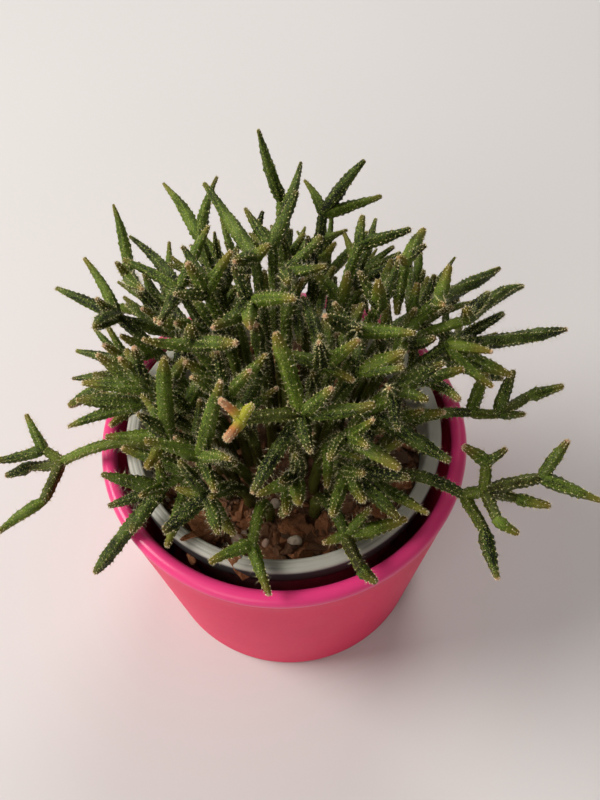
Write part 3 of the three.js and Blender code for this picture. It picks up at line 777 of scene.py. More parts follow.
TRAILING = {
    "trail_right": fork(463, 495, 118,
        fork(485, 531, 118, tip(498, 580, 112)),
        fork(484, 491, 123,
            fork(497, 520, 124, tip(519, 534, 122)),
            fork(541, 478, 124, tip(569, 440, 132), tip(602, 501, 122)),
            fork(516, 498, 117, tip(551, 506, 118)),
            fork(486, 462, 130, tip(463, 446, 135), tip(507, 448, 133)))),
    "trail_right_upper": fork(471, 413, 122,
        tip(487, 370, 126),
        fork(498, 414, 122, tip(514, 370, 128), tip(525, 414, 120), fork(529, 396, 124, tip(564, 386, 126)))),
    "trail_left": fork(62, 462, 104,
        fork(43, 502, 102, tip(-4, 534, 98)),
        fork(44, 449, 106, tip(26, 414, 110), tip(-6, 461, 104)),
        fork(30, 466, 98, tip(5, 476, 96))),
    "front_left_droop": fork(252, 544, 116, tip(270, 596, 112), tip(209, 563, 118)),
    "front_right_droop": fork(346, 535, 114,
        fork(362, 571, 118, tip(377, 583, 116)), tip(323, 543, 116), tip(370, 508, 124), tip(407, 518, 118)),
}

CROWN = {
    "right_reach": fork(448, 345, 0.84, tip(567, 329, 1), tip(504, 313, 1), tip(493, 352, 1)),
    "rosette": fork(302, 416, 0.84,
        tip(275, 332, 1), tip(332, 388, 1.02), tip(375, 404, 1), tip(311, 453, 1), tip(252, 494, 1),
        fork(243, 420, 0.98,
            tip(219, 399, 1.03, Stage.SHOOT),
            tip(225, 441, 1.05, Stage.SHOOT),
            tip(252, 405, 1.08, Stage.BUD))),
    "rosette_right": fork(346, 436, 0.8,
        tip(330, 459, 1), tip(368, 447, 1), tip(370, 418, 1), tip(400, 469, 1)),
    "front_tuft": fork(297, 478, 0.72,
        tip(299, 504, 0.95), tip(281, 482, 0.9), tip(295, 455, 0.92), tip(281, 516, 0.75)),
    "front_right_tuft": fork(346, 470, 0.74, tip(364, 473, 0.95), tip(409, 478, 0.95), tip(364, 502, 0.92)),
    "low_left_tuft": fork(207, 496, 0.78,
        tip(235, 535, 0.9), tip(170, 527, 0.95), tip(180, 461, 0.95), tip(163, 532, 0.98)),
    "low_left_long": fork(163, 487, 0.8, tip(95, 573, 0.98), tip(140, 496, 0.98), tip(101, 474, 0.98)),
    "left_bristly": fork(201, 458, 0.82, tip(144, 441, 1), tip(231, 459, 1.02), tip(221, 380, 1.02)),
    "left_upright": fork(168, 436, 0.8,
        tip(164, 357, 1), tip(138, 414, 0.98), tip(105, 437, 0.95), tip(146, 469, 0.95)),
    "left_level": fork(141, 404, 0.78, tip(76, 400, 0.98), tip(68, 427, 1)),
    "left_shoulder": fork(145, 387, 0.82,
        tip(134, 347, 1), tip(119, 358, 1), tip(82, 383, 0.98), tip(97, 354, 1)),
    "fork_left": fork(193, 345, 0.86, tip(237, 343, 1.03), tip(190, 326, 0.98), tip(142, 339, 1.02)),
    "left_edge": fork(117, 316, 0.86, tip(78, 296, 1), tip(84, 258, 1), tip(56, 288, 1), tip(94, 327, 1)),
    "left_back": fork(130, 278, 0.9, tip(113, 204, 1), tip(116, 262, 1), tip(142, 289, 0.95)),
    "upper_left": fork(180, 290, 0.82, tip(130, 236, 1), tip(119, 259, 1), tip(159, 324, 0.98)),
    "upper_left_tuft": fork(207, 294, 0.84,
        tip(187, 262, 1), tip(182, 246, 0.98), tip(174, 294, 0.98), tip(232, 251, 0.98)),
    "back_left": fork(200, 240, 0.9, tip(163, 183, 1), tip(217, 177, 1)),
    "tall_left": fork(255, 258, 0.9, tip(204, 183, 1.04), tip(270, 244, 0.98), tip(234, 262, 1)),
    "crest": fork(281, 200, 0.9, tip(258, 129, 1), tip(268, 166, 1)),
    "tall_mid": fork(272, 246, 0.88, tip(301, 162, 1.1), tip(297, 191, 1.04)),
    "hub_left": fork(250, 303, 0.86,
        tip(295, 299, 1.03), tip(212, 328, 1.02), tip(233, 266, 1.02), tip(250, 328, 0.98)),
    "hub_mid": fork(286, 272, 0.86, tip(326, 266, 1.02), tip(322, 236, 0.98)),
    "back_mid": fork(323, 214, 0.9, tip(365, 160, 1), tip(382, 196, 1), tip(304, 180, 1)),
    "back_right": fork(360, 244, 0.92, tip(363, 215, 1), tip(411, 229, 1)),
    "right_fork": fork(405, 262, 0.95, tip(424, 229, 1), tip(426, 245, 1), tip(398, 257, 0.98)),
    "right_upright": fork(380, 306, 0.82, tip(398, 257, 1), tip(378, 281, 1.02), tip(359, 272, 0.96)),
    "right_back": fork(438, 300, 0.92, tip(450, 265, 1), tip(500, 268, 1), tip(444, 305, 1.02)),
    "right_shoulder": fork(468, 320, 0.95, tip(489, 292, 1), tip(518, 294, 1), tip(466, 309, 1.02)),
    "mid_right": fork(350, 330, 0.8, tip(415, 333, 1), tip(324, 316, 0.98), tip(358, 329, 1)),
    "mid_tuft": fork(322, 366, 0.8, tip(319, 342, 1), tip(362, 337, 0.98)),
    "mid_low_right": fork(360, 372, 0.82, tip(404, 352, 1), tip(404, 367, 1)),
    "right_arm": fork(393, 390, 0.82, tip(444, 363, 1.02), tip(389, 388, 1), tip(464, 369, 0.95)),
    "inner_left": fork(228, 398, 0.74,
        tip(191, 377, 1), tip(208, 410, 0.92), tip(250, 370, 0.95), tip(266, 354, 0.98)),
}
# Seen stems grown after all others, from their spray's last fork, with the height that each ends at.
LATE = {
    "tall_left": [tip(204, 183, 176)],
    "mid_tuft": [tip(302, 297, 162), tip(325, 314, 160)],
    "back_high_2": [tip(300, 345, 144)],
    "back_low_3": [tip(319, 316, 126)],
    "back_middle_2": [tip(368, 314, 126)],
    "right_fork": [tip(397, 315, 156)],
}


class Ending(Enum):
    """How a stem's outline runs: shares of its length, and its share of the full radius there."""

    TIPPED = ((0, 0.24, 0.8, 1), (0, 1, 0.86, 0))
    FORKED = ((0, 0.24, 0.8, 1), (0, 1, 1, 0.85))
    ROOTED = ((0, 1 / 3, 2 / 3, 1), (1, 1, 1, 1))


@dataclass
class Stem:
    """A grown stem.

    Attributes:
        line: Its start, the place that it is drawn toward, and its end.
        radius: Its full radius.
        ending: How its outline runs.
        root: Where it starts in the potting mix, if it does.
        stage: How far it has grown.
    """

    line: tuple[Array, Array, Array]
    radius: float
    ending: Ending
    root: Array | None = None
    stage: Stage = Stage.GROWN

    @property
    def tipped(self) -> bool:
        """Whether it ends in a tip."""
        return self.ending is Ending.TIPPED

    @property
    def fresh(self) -> bool:
        """Whether it is new growth."""
        return self.stage is not Stage.GROWN

    def path(self, shares: Array) -> Array:
        """Places along it, at shares of the way from its start to its end."""
        start, bend, end = self.line
        t = np.asarray(shares, float)[:, None]
        return (1 - t) ** 2 * start + 2 * t * (1 - t) * bend + t * t * end

    def bars(self) -> tuple[Array, Array]:
        """The corners of its solid's bars, and the radius at each."""
        shares, shape = self.ending.value
        points, radii = self.path(shares), np.array(shape) * self.radius
        if self.root is None:
            return points, radii
        return np.vstack([self.root, points]), np.append(self.radius, radii)

    def beads(self) -> tuple[Array, Array]:
        """Places strung along its solid, and the radius at each, by which its clearance is judged."""
        points, radii = self.bars()
        places, sizes = [], []
        for start, end, wide, narrow in zip(points, points[1:], radii, radii[1:]):
            count = max(1, math.ceil(math.dist(start, end) / BEAD_STEP))
            t = np.arange(count + 1) / count
            places.append(start + (end - start) * t[:, None])
            sizes.append(wide * (1 - t) + narrow * t)
        return np.concatenate(places), np.concatenate(sizes)


@dataclass
class Joint:
    """A place that carries stems."""

    spray: str
    at: Array
    stems: int


class Draw:
    """A seeded row of draws, the same in every run."""

    def __init__(self, seed: int) -> None:
        """Starts the row."""
        self.state = seed

    def next(self) -> float:
        """The next draw, from 0 to 1."""
        self.state = (self.state * 1664525 + 1013904223) % 2**32
        return self.state / 2**32

    def around(self, size: float) -> float:
        """A draw to either side of 0."""
        return (self.next() * 2 - 1) * size

    def offset(self, size: float) -> Array:
        """A draw for each of the three ways."""
        return spot(self.around(size), self.around(size), self.around(size))


@dataclass(frozen=True)
class Viewpoint:
    """Where the object is seen from, in degrees and millimetres, with the lens as places across the view."""

    width: int = 600
    height: int = 800
    lens: float = 800
    elevation: float = 56.3
    distance: float = 306.8
    aside: float = 6.5
    above: float = 10.3
    roll: float = -1.6

    def axes(self) -> tuple[Array, Array, Array, Array]:
        """The ways back, right and up of the view, and the eye's place."""
        rise, roll = math.radians(self.elevation), math.radians(self.roll)
        back = spot(0, -math.cos(rise), math.sin(rise))
        side = spot(1, 0, 0)
        up = spot(0, math.sin(rise), math.cos(rise))
        eye = spot(0, 0, POT_HEIGHT) + back * self.distance + side * self.aside + up * self.above
        right = side * math.cos(roll) + up * math.sin(roll)
        return back, right, up * math.cos(roll) - side * math.sin(roll), eye

    def sight(self, across: float, down: float) -> tuple[Array, Array]:
        """The eye's place, and the way of the line of sight through a place in the view."""
        back, right, up, eye = self.axes()
        way = back * -self.lens + right * (across - self.width / 2) + up * (self.height / 2 - down)
        return eye, way

    def on_mound(self, across: float, down: float, share: float) -> Array:
        """The place where a line of sight enters the mound shrunk to a share, or passes nearest to it."""
        eye, way = self.sight(across, down)
        start, along = (eye - MOUND) / MOUND_RADII, way / MOUND_RADII
        a, b, c = along @ along, start @ along, start @ start - share * share
        return eye + way * ((-b - math.sqrt(max(b * b - a * c, 0))) / a)

    def at_height(self, across: float, down: float, height: float) -> Array:
        """The place where a line of sight comes down to a height."""
        eye, way = self.sight(across, down)
        return eye + way * ((height - eye[2]) / way[2])

    def facing(self, place: Array) -> float:
        """How squarely the mound at a place faces the view or turns its back to it: 0 at its rim."""
        eye = self.axes()[3]
        return abs(float(unit((place - MOUND) / MOUND_RADII**2) @ unit(eye - place)))


VIEW = Viewpoint()


@dataclass(frozen=True)
class Edge:
    """A pot's upper edge, as an upright wall with a round top that the stems keep clear of.

    Attributes:
        radius: The radius of the wall's middle.
        top: The height of the round's middle.
        half: Half the wall's thickness.
    """

    radius: float
    top: float
    half: float


NURSERY_EDGE = Edge(57.2, 106.4, 2.8)
OUTER_EDGE = Edge(67.8, 103.8, 2.3)


def edge_room(places: Array, sizes: Array) -> Array:
    """Room between beads and the upper edges of the pots and the potting mix."""
    out = np.hypot(places[:, 0], places[:, 1])
    height = places[:, 2]
    soil = np.where(out < NURSERY_EDGE.radius, height - sizes - SOIL_TOP - SOIL_GAP, np.inf)
    rooms = [
        np.hypot(out - edge.radius, np.maximum(height - edge.top, 0)) - edge.half - sizes
        for edge in (NURSERY_EDGE, OUTER_EDGE)
    ]
    return np.min([*rooms, soil], axis=0)


Locate = Callable[[float, float, float], Array]
Waiting = tuple[str, Array, Seen, Locate]


class Growth:
    """The plant: forks, and the stems grown between them, each spray kept clear of every other."""

    def __init__(self, seed: int) -> None:
        """Starts with bare soil."""
        self.draw = Draw(seed)
        self.sprays: dict[str, list[Stem]] = {}
        self.joints: list[Joint] = []
        self.tips: list[Array] = []
        self.places = np.empty((0, 3))
        self.sizes = np.empty(0)
        self.owners = np.empty(0, int)

    def clears(self, stem: Stem, spray: str) -> bool:
        """Whether a new stem stays clear of the pots, the potting mix and the other sprays."""
        places, sizes = stem.beads()
        judged = np.ones(len(places), bool) if stem.root is None else places[:, 2] > SOIL_TOP + COLLAR_RISE
        if edge_room(places[judged], sizes[judged]).min(initial=np.inf) < STEM_GAP:
            return False
        low, high = places.min(0), places.max(0)
        reach = 3 * STEM_RADIUS
        close = np.all((self.places > low - reach) & (self.places < high + reach), axis=1)
        close &= self.owners != list(self.sprays).index(spray)
        ways = places[:, None] - self.places[close]
        spaces = np.linalg.norm(ways, axis=2) - sizes[:, None] - self.sizes[close]
        return spaces.min(initial=np.inf) > STEM_GAP

    def keep(self, stem: Stem, spray: str) -> Stem:
        """Adds a stem to its spray."""
        places, sizes = stem.beads()
        owner = list(self.sprays).index(spray)
        self.places = np.vstack([self.places, places])
        self.sizes = np.append(self.sizes, sizes)
        self.owners = np.append(self.owners, np.full(len(places), owner))
        if stem.tipped:
            self.tips.append(stem.line[2])
        self.sprays[spray].append(stem)
        return stem

    def cane(self, spray: str, end: Array) -> Stem | None:
        """Grows the stem from the potting mix to a spray's first fork, if there is a way for it."""
        outward = spot(end[0] - MOUND[0], end[1] - MOUND[1], 0)
        share = min(ROOT_SHARE, ROOT_SPREAD / max(float(np.linalg.norm(outward)), 1))
        arching = math.hypot(end[0], end[1]) > ARCH_BEYOND and end[2] < ARCH_BELOW
        for k in range(CANE_TRIES):
            stray = k / (CANE_TRIES - 1)
            root = ROOT_CENTRE + outward * share
            root[0] += self.draw.around(ROOT_STRAY * stray)
            root[1] += self.draw.around(ROOT_STRAY * stray)
            far = math.hypot(root[0], root[1])
            if far > ROOT_SPREAD:
                root *= ROOT_SPREAD / far
            low = spot(root[0], root[1], SOIL_TOP - ROOT_DEPTH)
            collar = spot(root[0], root[1], SOIL_TOP + COLLAR_RISE)
            rise = max(end[2] - collar[2], LEAST_RISE)
            bend = collar + (end - collar) * CANE_LEAN
            bend[2] = ARCH_HEIGHT if arching else collar[2] + rise * CANE_LIFT
            bend += spot(*(self.draw.around(size * stray) for size in CANE_STRAY))
            cane = Stem((collar, bend, end), CANE_RADIUS, Ending.ROOTED, root=low)
            if self.clears(cane, spray):
                return self.keep(cane, spray)
        return None

    def stem(
        self, spray: str, start: Array, to: Array, radius: float, ending: Ending = Ending.TIPPED,
        tries: int = STEM_TRIES, stray: float = STEM_STRAY, stage: Stage = Stage.GROWN,
    ) -> Stem | None:
        """Grows a stem from a fork to a tip or to the next fork.

        Args:
            spray: The spray that it is part of.
            start: The fork's place.
            to: Where it should end.
            radius: Its full radius.
            ending: How its outline runs.
            tries: How often a way is looked for.
            stray: How far from its end it may end at the last try.
            stage: How far it has grown.

        Returns:
            The stem, if there was a way for it.
        """
        for k in range(tries):
            end = to + self.draw.offset(stray * (k / tries))
            way = end - start
            length = float(np.linalg.norm(way))
            ahead = way / length
            side = self.draw.offset(1)
            side = side - ahead * (side @ ahead)
            bend = start + way * 0.5 + side * (STEM_BEND * length)
            grown = Stem((start - ahead * SUNK, bend, end), radius, ending, stage=stage)
            if self.clears(grown, spray):
                return self.keep(grown, spray)
        return None

    def nearest(self, place: Array, near: float, far: float, most: int) -> Joint | None:
        """The nearest fork that can carry one more stem toward a place, with the stem leading outward.

        The trailing sprays are seen whole and take no further stems.

        Args:
            place: Where the stem should end.
            near: The least distance of the fork.
            far: The greatest distance of the fork.
            most: How many stems fill a fork.

        Returns:
            The fork, if there is one.
        """
        best, shortest = None, far
        for joint in self.joints:
            if joint.stems >= most or joint.spray in TRAILING:
                continue
            way = place - joint.at
            length = math.sqrt(way @ way)
            if near < length < shortest:
                outward = unit((joint.at - STEM_SOURCE) / MOUND_RADII)
                if way @ outward / length > LEAST_OUTWARD:
                    best, shortest = joint, length
        return best

    def begin(self, name: str, at: Array, stems: int) -> Joint | None:
        """Begins a spray with its first fork, on a cane of its own or else on an arm of the nearest spray."""
        self.sprays[name] = []
        cane = self.cane(name, at)
        if cane is not None:
            self.joints.append(Joint(name, cane.bars()[0][-2], CANE_FORK_STEMS))
            self.joints.append(Joint(name, at, stems))
            return self.joints[-1]
        near = self.nearest(at, JOIN_NEAR, JOIN_FAR, JOIN_MOST)
        arm = near and self.stem(near.spray, near.at, at, ARM_RADIUS, Ending.FORKED, ARM_TRIES)
        if arm is None:
            return None
        near.stems += 1
        self.joints.append(Joint(near.spray, arm.line[2], stems))
        return self.joints[-1]

    def plant_seen(self, forks: dict[str, Seen], locate: Locate) -> list[Waiting]:
        """Begins the listed sprays and returns what they still have to grow."""
        waiting = []
        for name, seen in forks.items():
            joint = self.begin(name, locate(seen.across, seen.down, seen.out), len(seen.stems))
            if joint is not None:
                waiting.extend((joint.spray, joint.at, stem, locate) for stem in seen.stems)
        return waiting

    def plant_rows(self) -> None:
        """Begins the sprays of the far side and of the deep of the front, in rows of forks."""
        for name, row in ROWS.items():
            for k in range(row.forks):
                aside = row.spread * (2 * k / (row.forks - 1) - 1)
                turn = math.radians(row.facing + aside + self.draw.around(ROW_STRAY))
                rise = math.radians(row.height + self.draw.around(ROW_STRAY))
                way = spot(math.cos(turn) * math.cos(rise), math.sin(turn) * math.cos(rise), math.sin(rise))
                share = row.out + self.draw.around(SHARE_STRAY)
                self.begin(f"{name}_{k + 1}", way * MOUND_RADII * share + MOUND, 0)

    def branch(self, waiting: list[Waiting]) -> None:
        """Grows the stems and further forks of the seen sprays, nearest to the canes first."""
        while waiting:
            spray, start, seen, locate = waiting.pop(0)
            at = locate(seen.across, seen.down, seen.out)
            if not seen.stems:
                radius = STEM_RADIUS * (1 + self.draw.around(SEEN_RADIUS_STRAY))
                self.stem(spray, start, at, radius, stage=seen.stage)
                continue
            arm = self.stem(spray, start, at, ARM_RADIUS, Ending.FORKED)
            if arm is not None:
                self.joints.append(Joint(spray, arm.line[2], 0))
                waiting.extend((spray, arm.line[2], stem, locate) for stem in seen.stems)

    def fill(self) -> None:
        """Grows the stems between the seen ones, from evenly spread places on the mound."""
        for layer in LAYERS:
            for k in range(layer.places):
                rise = 1 - (1 - LOWEST_SHARE) * (k + 0.5) / layer.places
                flat = math.sqrt(max(0, 1 - rise * rise))
                turn = k * GOLDEN_TURN
                share = layer.out + self.draw.around(SHARE_STRAY)
                place = spot(math.cos(turn) * flat, math.sin(turn) * flat, rise) * MOUND_RADII * share + MOUND
                crowded = np.linalg.norm(np.array(self.tips) - place, axis=1).min() < layer.apart
                if crowded or VIEW.facing(place) < layer.facing:
                    continue
                joint = self.nearest(place, layer.near, layer.far, layer.most)
                if joint is None:
                    continue
                radius = STEM_RADIUS * (FILL_RADIUS + self.draw.around(FILL_RADIUS_STRAY))
                way = {"tries": FILL_TRIES, "stray": FILL_STRAY}
                grown = self.stem(joint.spray, joint.at, place, radius, **way)
                joint.stems += grown is not None
                if grown is not None and place[1] < BARE_FRONT:
                    self.sprays[joint.spray].pop()

    def plant_late(self) -> None:
        """Grows the late stems, each from its spray's last fork."""
        for spray, tips in LATE.items():
            start = [joint.at for joint in self.joints if joint.spray == spray][-1]
            for seen in tips:
                to = VIEW.at_height(seen.across, seen.down, seen.out)
                self.stem(spray, start, to, STEM_RADIUS)

    def grow(self) -> dict[str, list[Stem]]:
        """Grows the whole plant and returns its sprays that have stems."""
        waiting = self.plant_seen(TRAILING, VIEW.at_height)
        waiting += self.plant_seen(CROWN, VIEW.on_mound)
        self.plant_rows()
        self.branch(waiting)
        self.fill()
        self.plant_late()
        return {name: stems for name, stems in self.sprays.items() if stems}


BRISTLE_PIECES = 6
# No stem runs along this way.
ASKEW = spot(0.31, 0.17, 0.94)
# A three-sided spike: the turns of its foot's corners, and its faces, with its peak as the fourth corner.
THIRDS = (0, 2 * math.pi / 3, 4 * math.pi / 3)
SPIKE = [[0, 1, 3], [1, 2, 3], [2, 0, 3], [2, 1, 0]]


def smooth(share: Any) -> Any:
    """A share eased in and out."""
    held = np.clip(share, 0, 1)
    return held * held * (3 - 2 * held)


@dataclass
class Outline:
    """A stem's outline, ready to be skinned.

    Attributes:
        along: How far each ring lies along the stem.
        centres: The rings' middles.
        ahead: The way along the stem at each ring.
        radii: The rings' radii.
        youth: How near each ring is to a growing tip, 0 to 1.
        wood: How woody each ring is, 0 to 1.
    """

    along: Array
    centres: Array
    ahead: Array
    radii: Array
    youth: Array
    wood: Array


@dataclass
class Spray:
    """One spray of stems, with ribbed, knobbly skin, and felt and bristles on every areole.

    The sizes after these three are millimetres or shares, and a pair holds the least and the most of a draw.

    Attributes:
        name: The spray's name.
        stems: Its stems.
        draw: Draws for what differs from stem to stem.
    """

    name: str
    stems: list[Stem]
    draw: np.random.Generator
    ribs: tuple[int, ...] = (5, 6, 6, 7)
    rib_height: float = 0.08
    knob_height: float = 0.15
    knob_stray: Range = (0.3, 1.6)
    roughness: float = 0.022
    twist: Range = (-0.035, 0.045)
    ring_step: float = 1.05
    tip_step: float = 0.6
    tip_zone: float = 3.6
    cap_rings: tuple[float, ...] = (1, 0.6, 0.28, 0.08)
    tip_cap: float = 0.9
    fork_cap: float = 0.8
    apex: float = 0.25
    girth: float = 0.81
    girth_stray: Range = (0.92, 1.08)
    fresh_girth: float = 0.74
    tip_end: Range = (0.24, 0.46)
    fresh_end: float = 0.6
    fork_end: float = 0.86
    taper_length: Range = (8, 18)
    taper_ease: Range = (1, 1.8)
    taper_share: Range = (0.25, 0.95)
    wave: float = 0.035
    wave_pitch: Range = (0.7, 1.2)
    joint_width: float = 0.66
    joint_length: float = 4
    young_length: Range = (5, 11)
    ripest: Range = (0.82, 1)
    back_from: float = 10
    back_depth: float = 60
    back_thinner: float = 0.06
    back_sharper: float = 0.3
    back_taper: float = 7
    woolly_from: float = 0.92
    bare_start: float = 2.5
    bare_radius: float = 0.35
    bare_wood: float = 0.35
    bare_share: float = 0.1
    areole_along: float = 0.3
    areole_aside: float = 0.2
    felt_width: float = 0.24
    felt_stretch: float = 1.15
    felt_height: float = 0.28
    felt_sunk: float = 0.12
    bristle_width: float = 0.04
    bristle_length: float = 2.2
    back_bristle_length: float = 0.8
    bristle_sunk: float = 0.05

    def build(self, skin: bpy.types.Material, hair: Clay) -> bpy.types.Object:
        """Makes the spray's skin in the place of its solid.

        Args:
            skin: The skin's material.
            hair: What gathers the felt and the bristles.

        Returns:
            The piece.
        """
        flesh = Clay("tone", "crest", "youth", "wood", "fresh")
        for stem in self.stems:
            self._stem(stem, flesh, hair)
        node = f"stems_{self.name}"
        body = flesh.piece(f"{node}_skin", skin)
        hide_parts(node)
        return body

    @staticmethod
    def _path(stem: Stem, places: int = 41) -> Array:
        """Places along a stem's smooth line, from its root on if it has one."""
        path = stem.path(np.linspace(0, 1, places))
        if stem.root is not None:
            path = np.vstack([stem.root + (path[0] - stem.root) * t for t in (0, 0.4, 0.8)] + [path[1:]])
            path[1:-1] = (path[:-2] + path[1:-1] * 2 + path[2:]) / 4
        return path

    def _outline(self, stem: Stem, back: float, step: float = 0.4) -> Outline:
        """Works out a stem's rings.

        Args:
            stem: The stem.
            back: How far to the back it lies, 0 to 1. Stems there are thinner, sharper and less ripe.
            step: How far before and behind a ring its way ahead is measured.

        Returns:
            The outline.
        """
        path = self._path(stem)
        reach = np.append(0, np.cumsum(np.linalg.norm(np.diff(path, axis=0), axis=1)))
        length = reach[-1]
        plain = 1 - self.back_sharper * back
        girth = stem.radius * self.girth * self.draw.uniform(*self.girth_stray)
        girth *= 1 - self.back_thinner * back
        end_width = self.draw.uniform(*self.tip_end) * plain if stem.tipped else self.fork_end
        if stem.fresh:
            girth *= self.fresh_girth
            end_width = self.fresh_end
        taper = self.draw.uniform(*self.taper_length) + self.back_taper * back
        zone = float(np.clip(taper / length, *self.taper_share))
        cap = end_width * girth * (self.tip_cap if stem.tipped else self.fork_cap)

        along = [0.0]
        while along[-1] < length - cap - self.tip_step:
            near_tip = stem.tipped and length - along[-1] < self.tip_zone
            along.append(along[-1] + (self.tip_step if near_tip else self.ring_step))
        along = [s for s in along if s < length - cap]
        along = np.array(along + [length - cap * part for part in self.cap_rings])

        start_width = 1 if stem.root is not None else self.joint_width
        narrow = min(self.joint_length, 0.3 * length)
        width = start_width + (1 - start_width) * smooth(along / narrow)
        tapered = np.clip((along / length - 1 + zone) / zone, 0, 1) ** self.draw.uniform(*self.taper_ease)
        width *= 1 - (1 - end_width) * tapered
        left = np.clip((length - along) / cap, 0, 1)
        width *= np.sqrt(np.maximum(1 - (1 - left) ** 2, 0))
        width *= 1 + self.wave * np.sin(along * self.draw.uniform(*self.wave_pitch) + self.draw.uniform(0, 6))

        def on_path(lengths: Array) -> Array:
            """The places that lie at lengths along the path."""
            return np.stack([np.interp(lengths, reach, path[:, axis]) for axis in range(3)], 1)

        young = np.clip(1 - (length - along) / self.draw.uniform(*self.young_length), 0, 1)
        young *= self.draw.uniform(*self.ripest) * plain * stem.tipped
        if stem.root is not None:
            wood = np.clip(1 - along / (0.8 * length), 0, 1)
        else:
            wood = np.full(len(along), 0.0 if stem.tipped else 0.3)
        return Outline(
            along=along,
            centres=on_path(along),
            ahead=unit(on_path(along + step) - on_path(along - step)),
            radii=width * girth,
            youth=smooth(along / length) if stem.fresh else young,
            wood=wood,
        )

    def _stem(self, stem: Stem, flesh: Clay, hair: Clay) -> None:
        """Skins one stem and sets felt and bristles on its areoles."""
        back = float(smooth((stem.line[2][1] - self.back_from) / self.back_depth))
        line = self._outline(stem, back)
        rings, sides = len(line.along), 2 * int(self.draw.choice(self.ribs))
        across = np.empty((rings, 3))
        side = unit(np.cross(line.ahead[0], ASKEW))
        for j, way in enumerate(line.ahead):
            side = unit(side - way * (side @ way))
            across[j] = side
        other = np.cross(line.ahead, across)
        spiral = self.draw.uniform(*self.twist)
        turns = self.draw.uniform(0, 6) + 2 * np.pi * np.arange(sides) / sides + spiral * line.along[:, None]
        outward = np.cos(turns)[..., None] * across[:, None] + np.sin(turns)[..., None] * other[:, None]

        rib = np.arange(sides) % 2 == 0
        knob = rib & ((np.arange(sides) // 2 + np.arange(rings)[:, None]) % 2 == 0)
        swell = self.knob_height * knob * self.draw.uniform(*self.knob_stray, knob.shape)
        rough = self.draw.normal(0, self.roughness, knob.shape)
        relief = 1 + self.rib_height * np.where(rib, 1, -1) + swell + rough
        places = line.centres[:, None] + outward * (line.radii[:, None] * relief)[..., None]

        grid = np.arange(rings * sides).reshape(rings, sides)
        wrapped = np.roll(grid, -1, axis=1)
        quads = np.stack([grid[:-1], wrapped[:-1], wrapped[1:], grid[1:]], -1).reshape(-1, 4)
        root, apex = rings * sides, rings * sides + 1
        ends = [[root, b, a] for a, b in zip(grid[0], wrapped[0])]
        ends += [[apex, a, b] for a, b in zip(grid[-1], wrapped[-1])]
        last = line.centres[-1] + line.ahead[-1] * line.radii[-1] * self.apex
        vertices = np.vstack([places.reshape(-1, 3), line.centres[0], last])
        faces = quads.tolist() + [[int(corner) for corner in row] for row in ends]

        def spread(values: Array) -> Array:
            """A value of each ring, for all the stem's vertices."""
            return np.append(np.repeat(values, sides), [values[0], values[-1]])

        flesh.add(
            vertices, faces,
            tone=float(stem.stage is Stage.BUD) if stem.fresh else self.draw.uniform(0, 1),
            crest=np.append(np.tile(rib, rings), [0, 1]),
            youth=spread(line.youth),
            wood=spread(line.wood),
            fresh=float(stem.fresh),
        )
        clear = line.along > self.bare_start
        clear &= (line.radii > self.bare_radius) & (line.wood < self.bare_wood)
        woolly = rib & (line.youth > self.woolly_from)[:, None]
        chosen = (knob & (self.draw.random(knob.shape) > self.bare_share) | woolly) & clear[:, None]
        if not chosen.any():
            return
        ahead = np.broadcast_to(line.ahead[:, None], places.shape)[chosen]
        youth = np.broadcast_to(line.youth[:, None], chosen.shape)[chosen]
        self._areoles(places[chosen], outward[chosen], ahead, youth, 1 - back, hair)

    def _areoles(
        self, places: Array, outward: Array, ahead: Array, youth: Array, front: float, hair: Clay
    ) -> None:
        """Sets a tuft of felt and some bristles on each areole.

        Args:
            places: The areoles' places.
            outward: The way out of the skin at each.
            ahead: The way along the stem at each.
            youth: How near each is to the tip.
            front: How far to the front the stem lies, 0 to 1.
            hair: What gathers them.
        """
        side = np.cross(ahead, outward)
        count = len(places)
        stray = self.draw.uniform(-1, 1, (2, count, 1))
        places = places + ahead * stray[0] * self.areole_along + side * stray[1] * self.areole_aside
        size = self.felt_width * self.draw.uniform(0.65, 1.35, count) * (0.75 + 0.25 * front)
        angles = self.draw.uniform(0, 6, count)[:, None]
        height = self.felt_height * self.draw.uniform(0.6, 1.3, count)
        foot = places - outward * self.felt_sunk
        corners = []
        for turn in THIRDS:
            way = ahead * np.cos(angles - turn) * self.felt_stretch + side * np.sin(angles - turn)
            corners.append(foot + way * size[:, None])
        self._gather(hair, [*corners, places + outward * height[:, None]], youth, 0)

        longest = self.back_bristle_length + (self.bristle_length - self.back_bristle_length) * front
        longest *= self.draw.uniform(0.7, 1.15)
        young = smooth(youth * 1.4 - 0.4)[:, None]
        splay = 1 - 0.6 * young
        foot = places - outward * self.bristle_sunk
        for _ in range(1 + round(2 * front)):
            way = outward * self.draw.uniform(0.5, 1, (count, 1)) * splay
            way += ahead * (self.draw.uniform(-0.4, 1.1, (count, 1)) + young)
            way = unit(way + side * self.draw.uniform(-1, 1, (count, 1)) * splay)
            first = unit(np.cross(way, outward + side * 0.3))
            second = np.cross(way, first)
            ways = [first * math.cos(turn) + second * math.sin(turn) for turn in THIRDS]
            corners = [foot + aside * self.bristle_width for aside in ways]
            length = longest * self.draw.uniform(0.4, 1.2, (count, 1)) * (1 - 0.72 * young)
            self._gather(hair, [*corners, foot + way * length], youth, 1)

    @staticmethod
    def _gather(hair: Clay, corners: list[Array], youth: Array, kind: float) -> None:
        """Adds a spike for each areole, from the corners of all of them."""
        count, size = len(youth), len(corners)
        rows = [[corner + size * k for corner in face] for k in range(count) for face in SPIKE]
        hair.add(np.stack(corners, 1).reshape(-1, 3), rows, youth=np.repeat(youth, size), hair=kind)


class Grit(Enum):
    """What the pieces of the potting mix are."""

    BARK = "bark"
    PUMICE = "pumice"


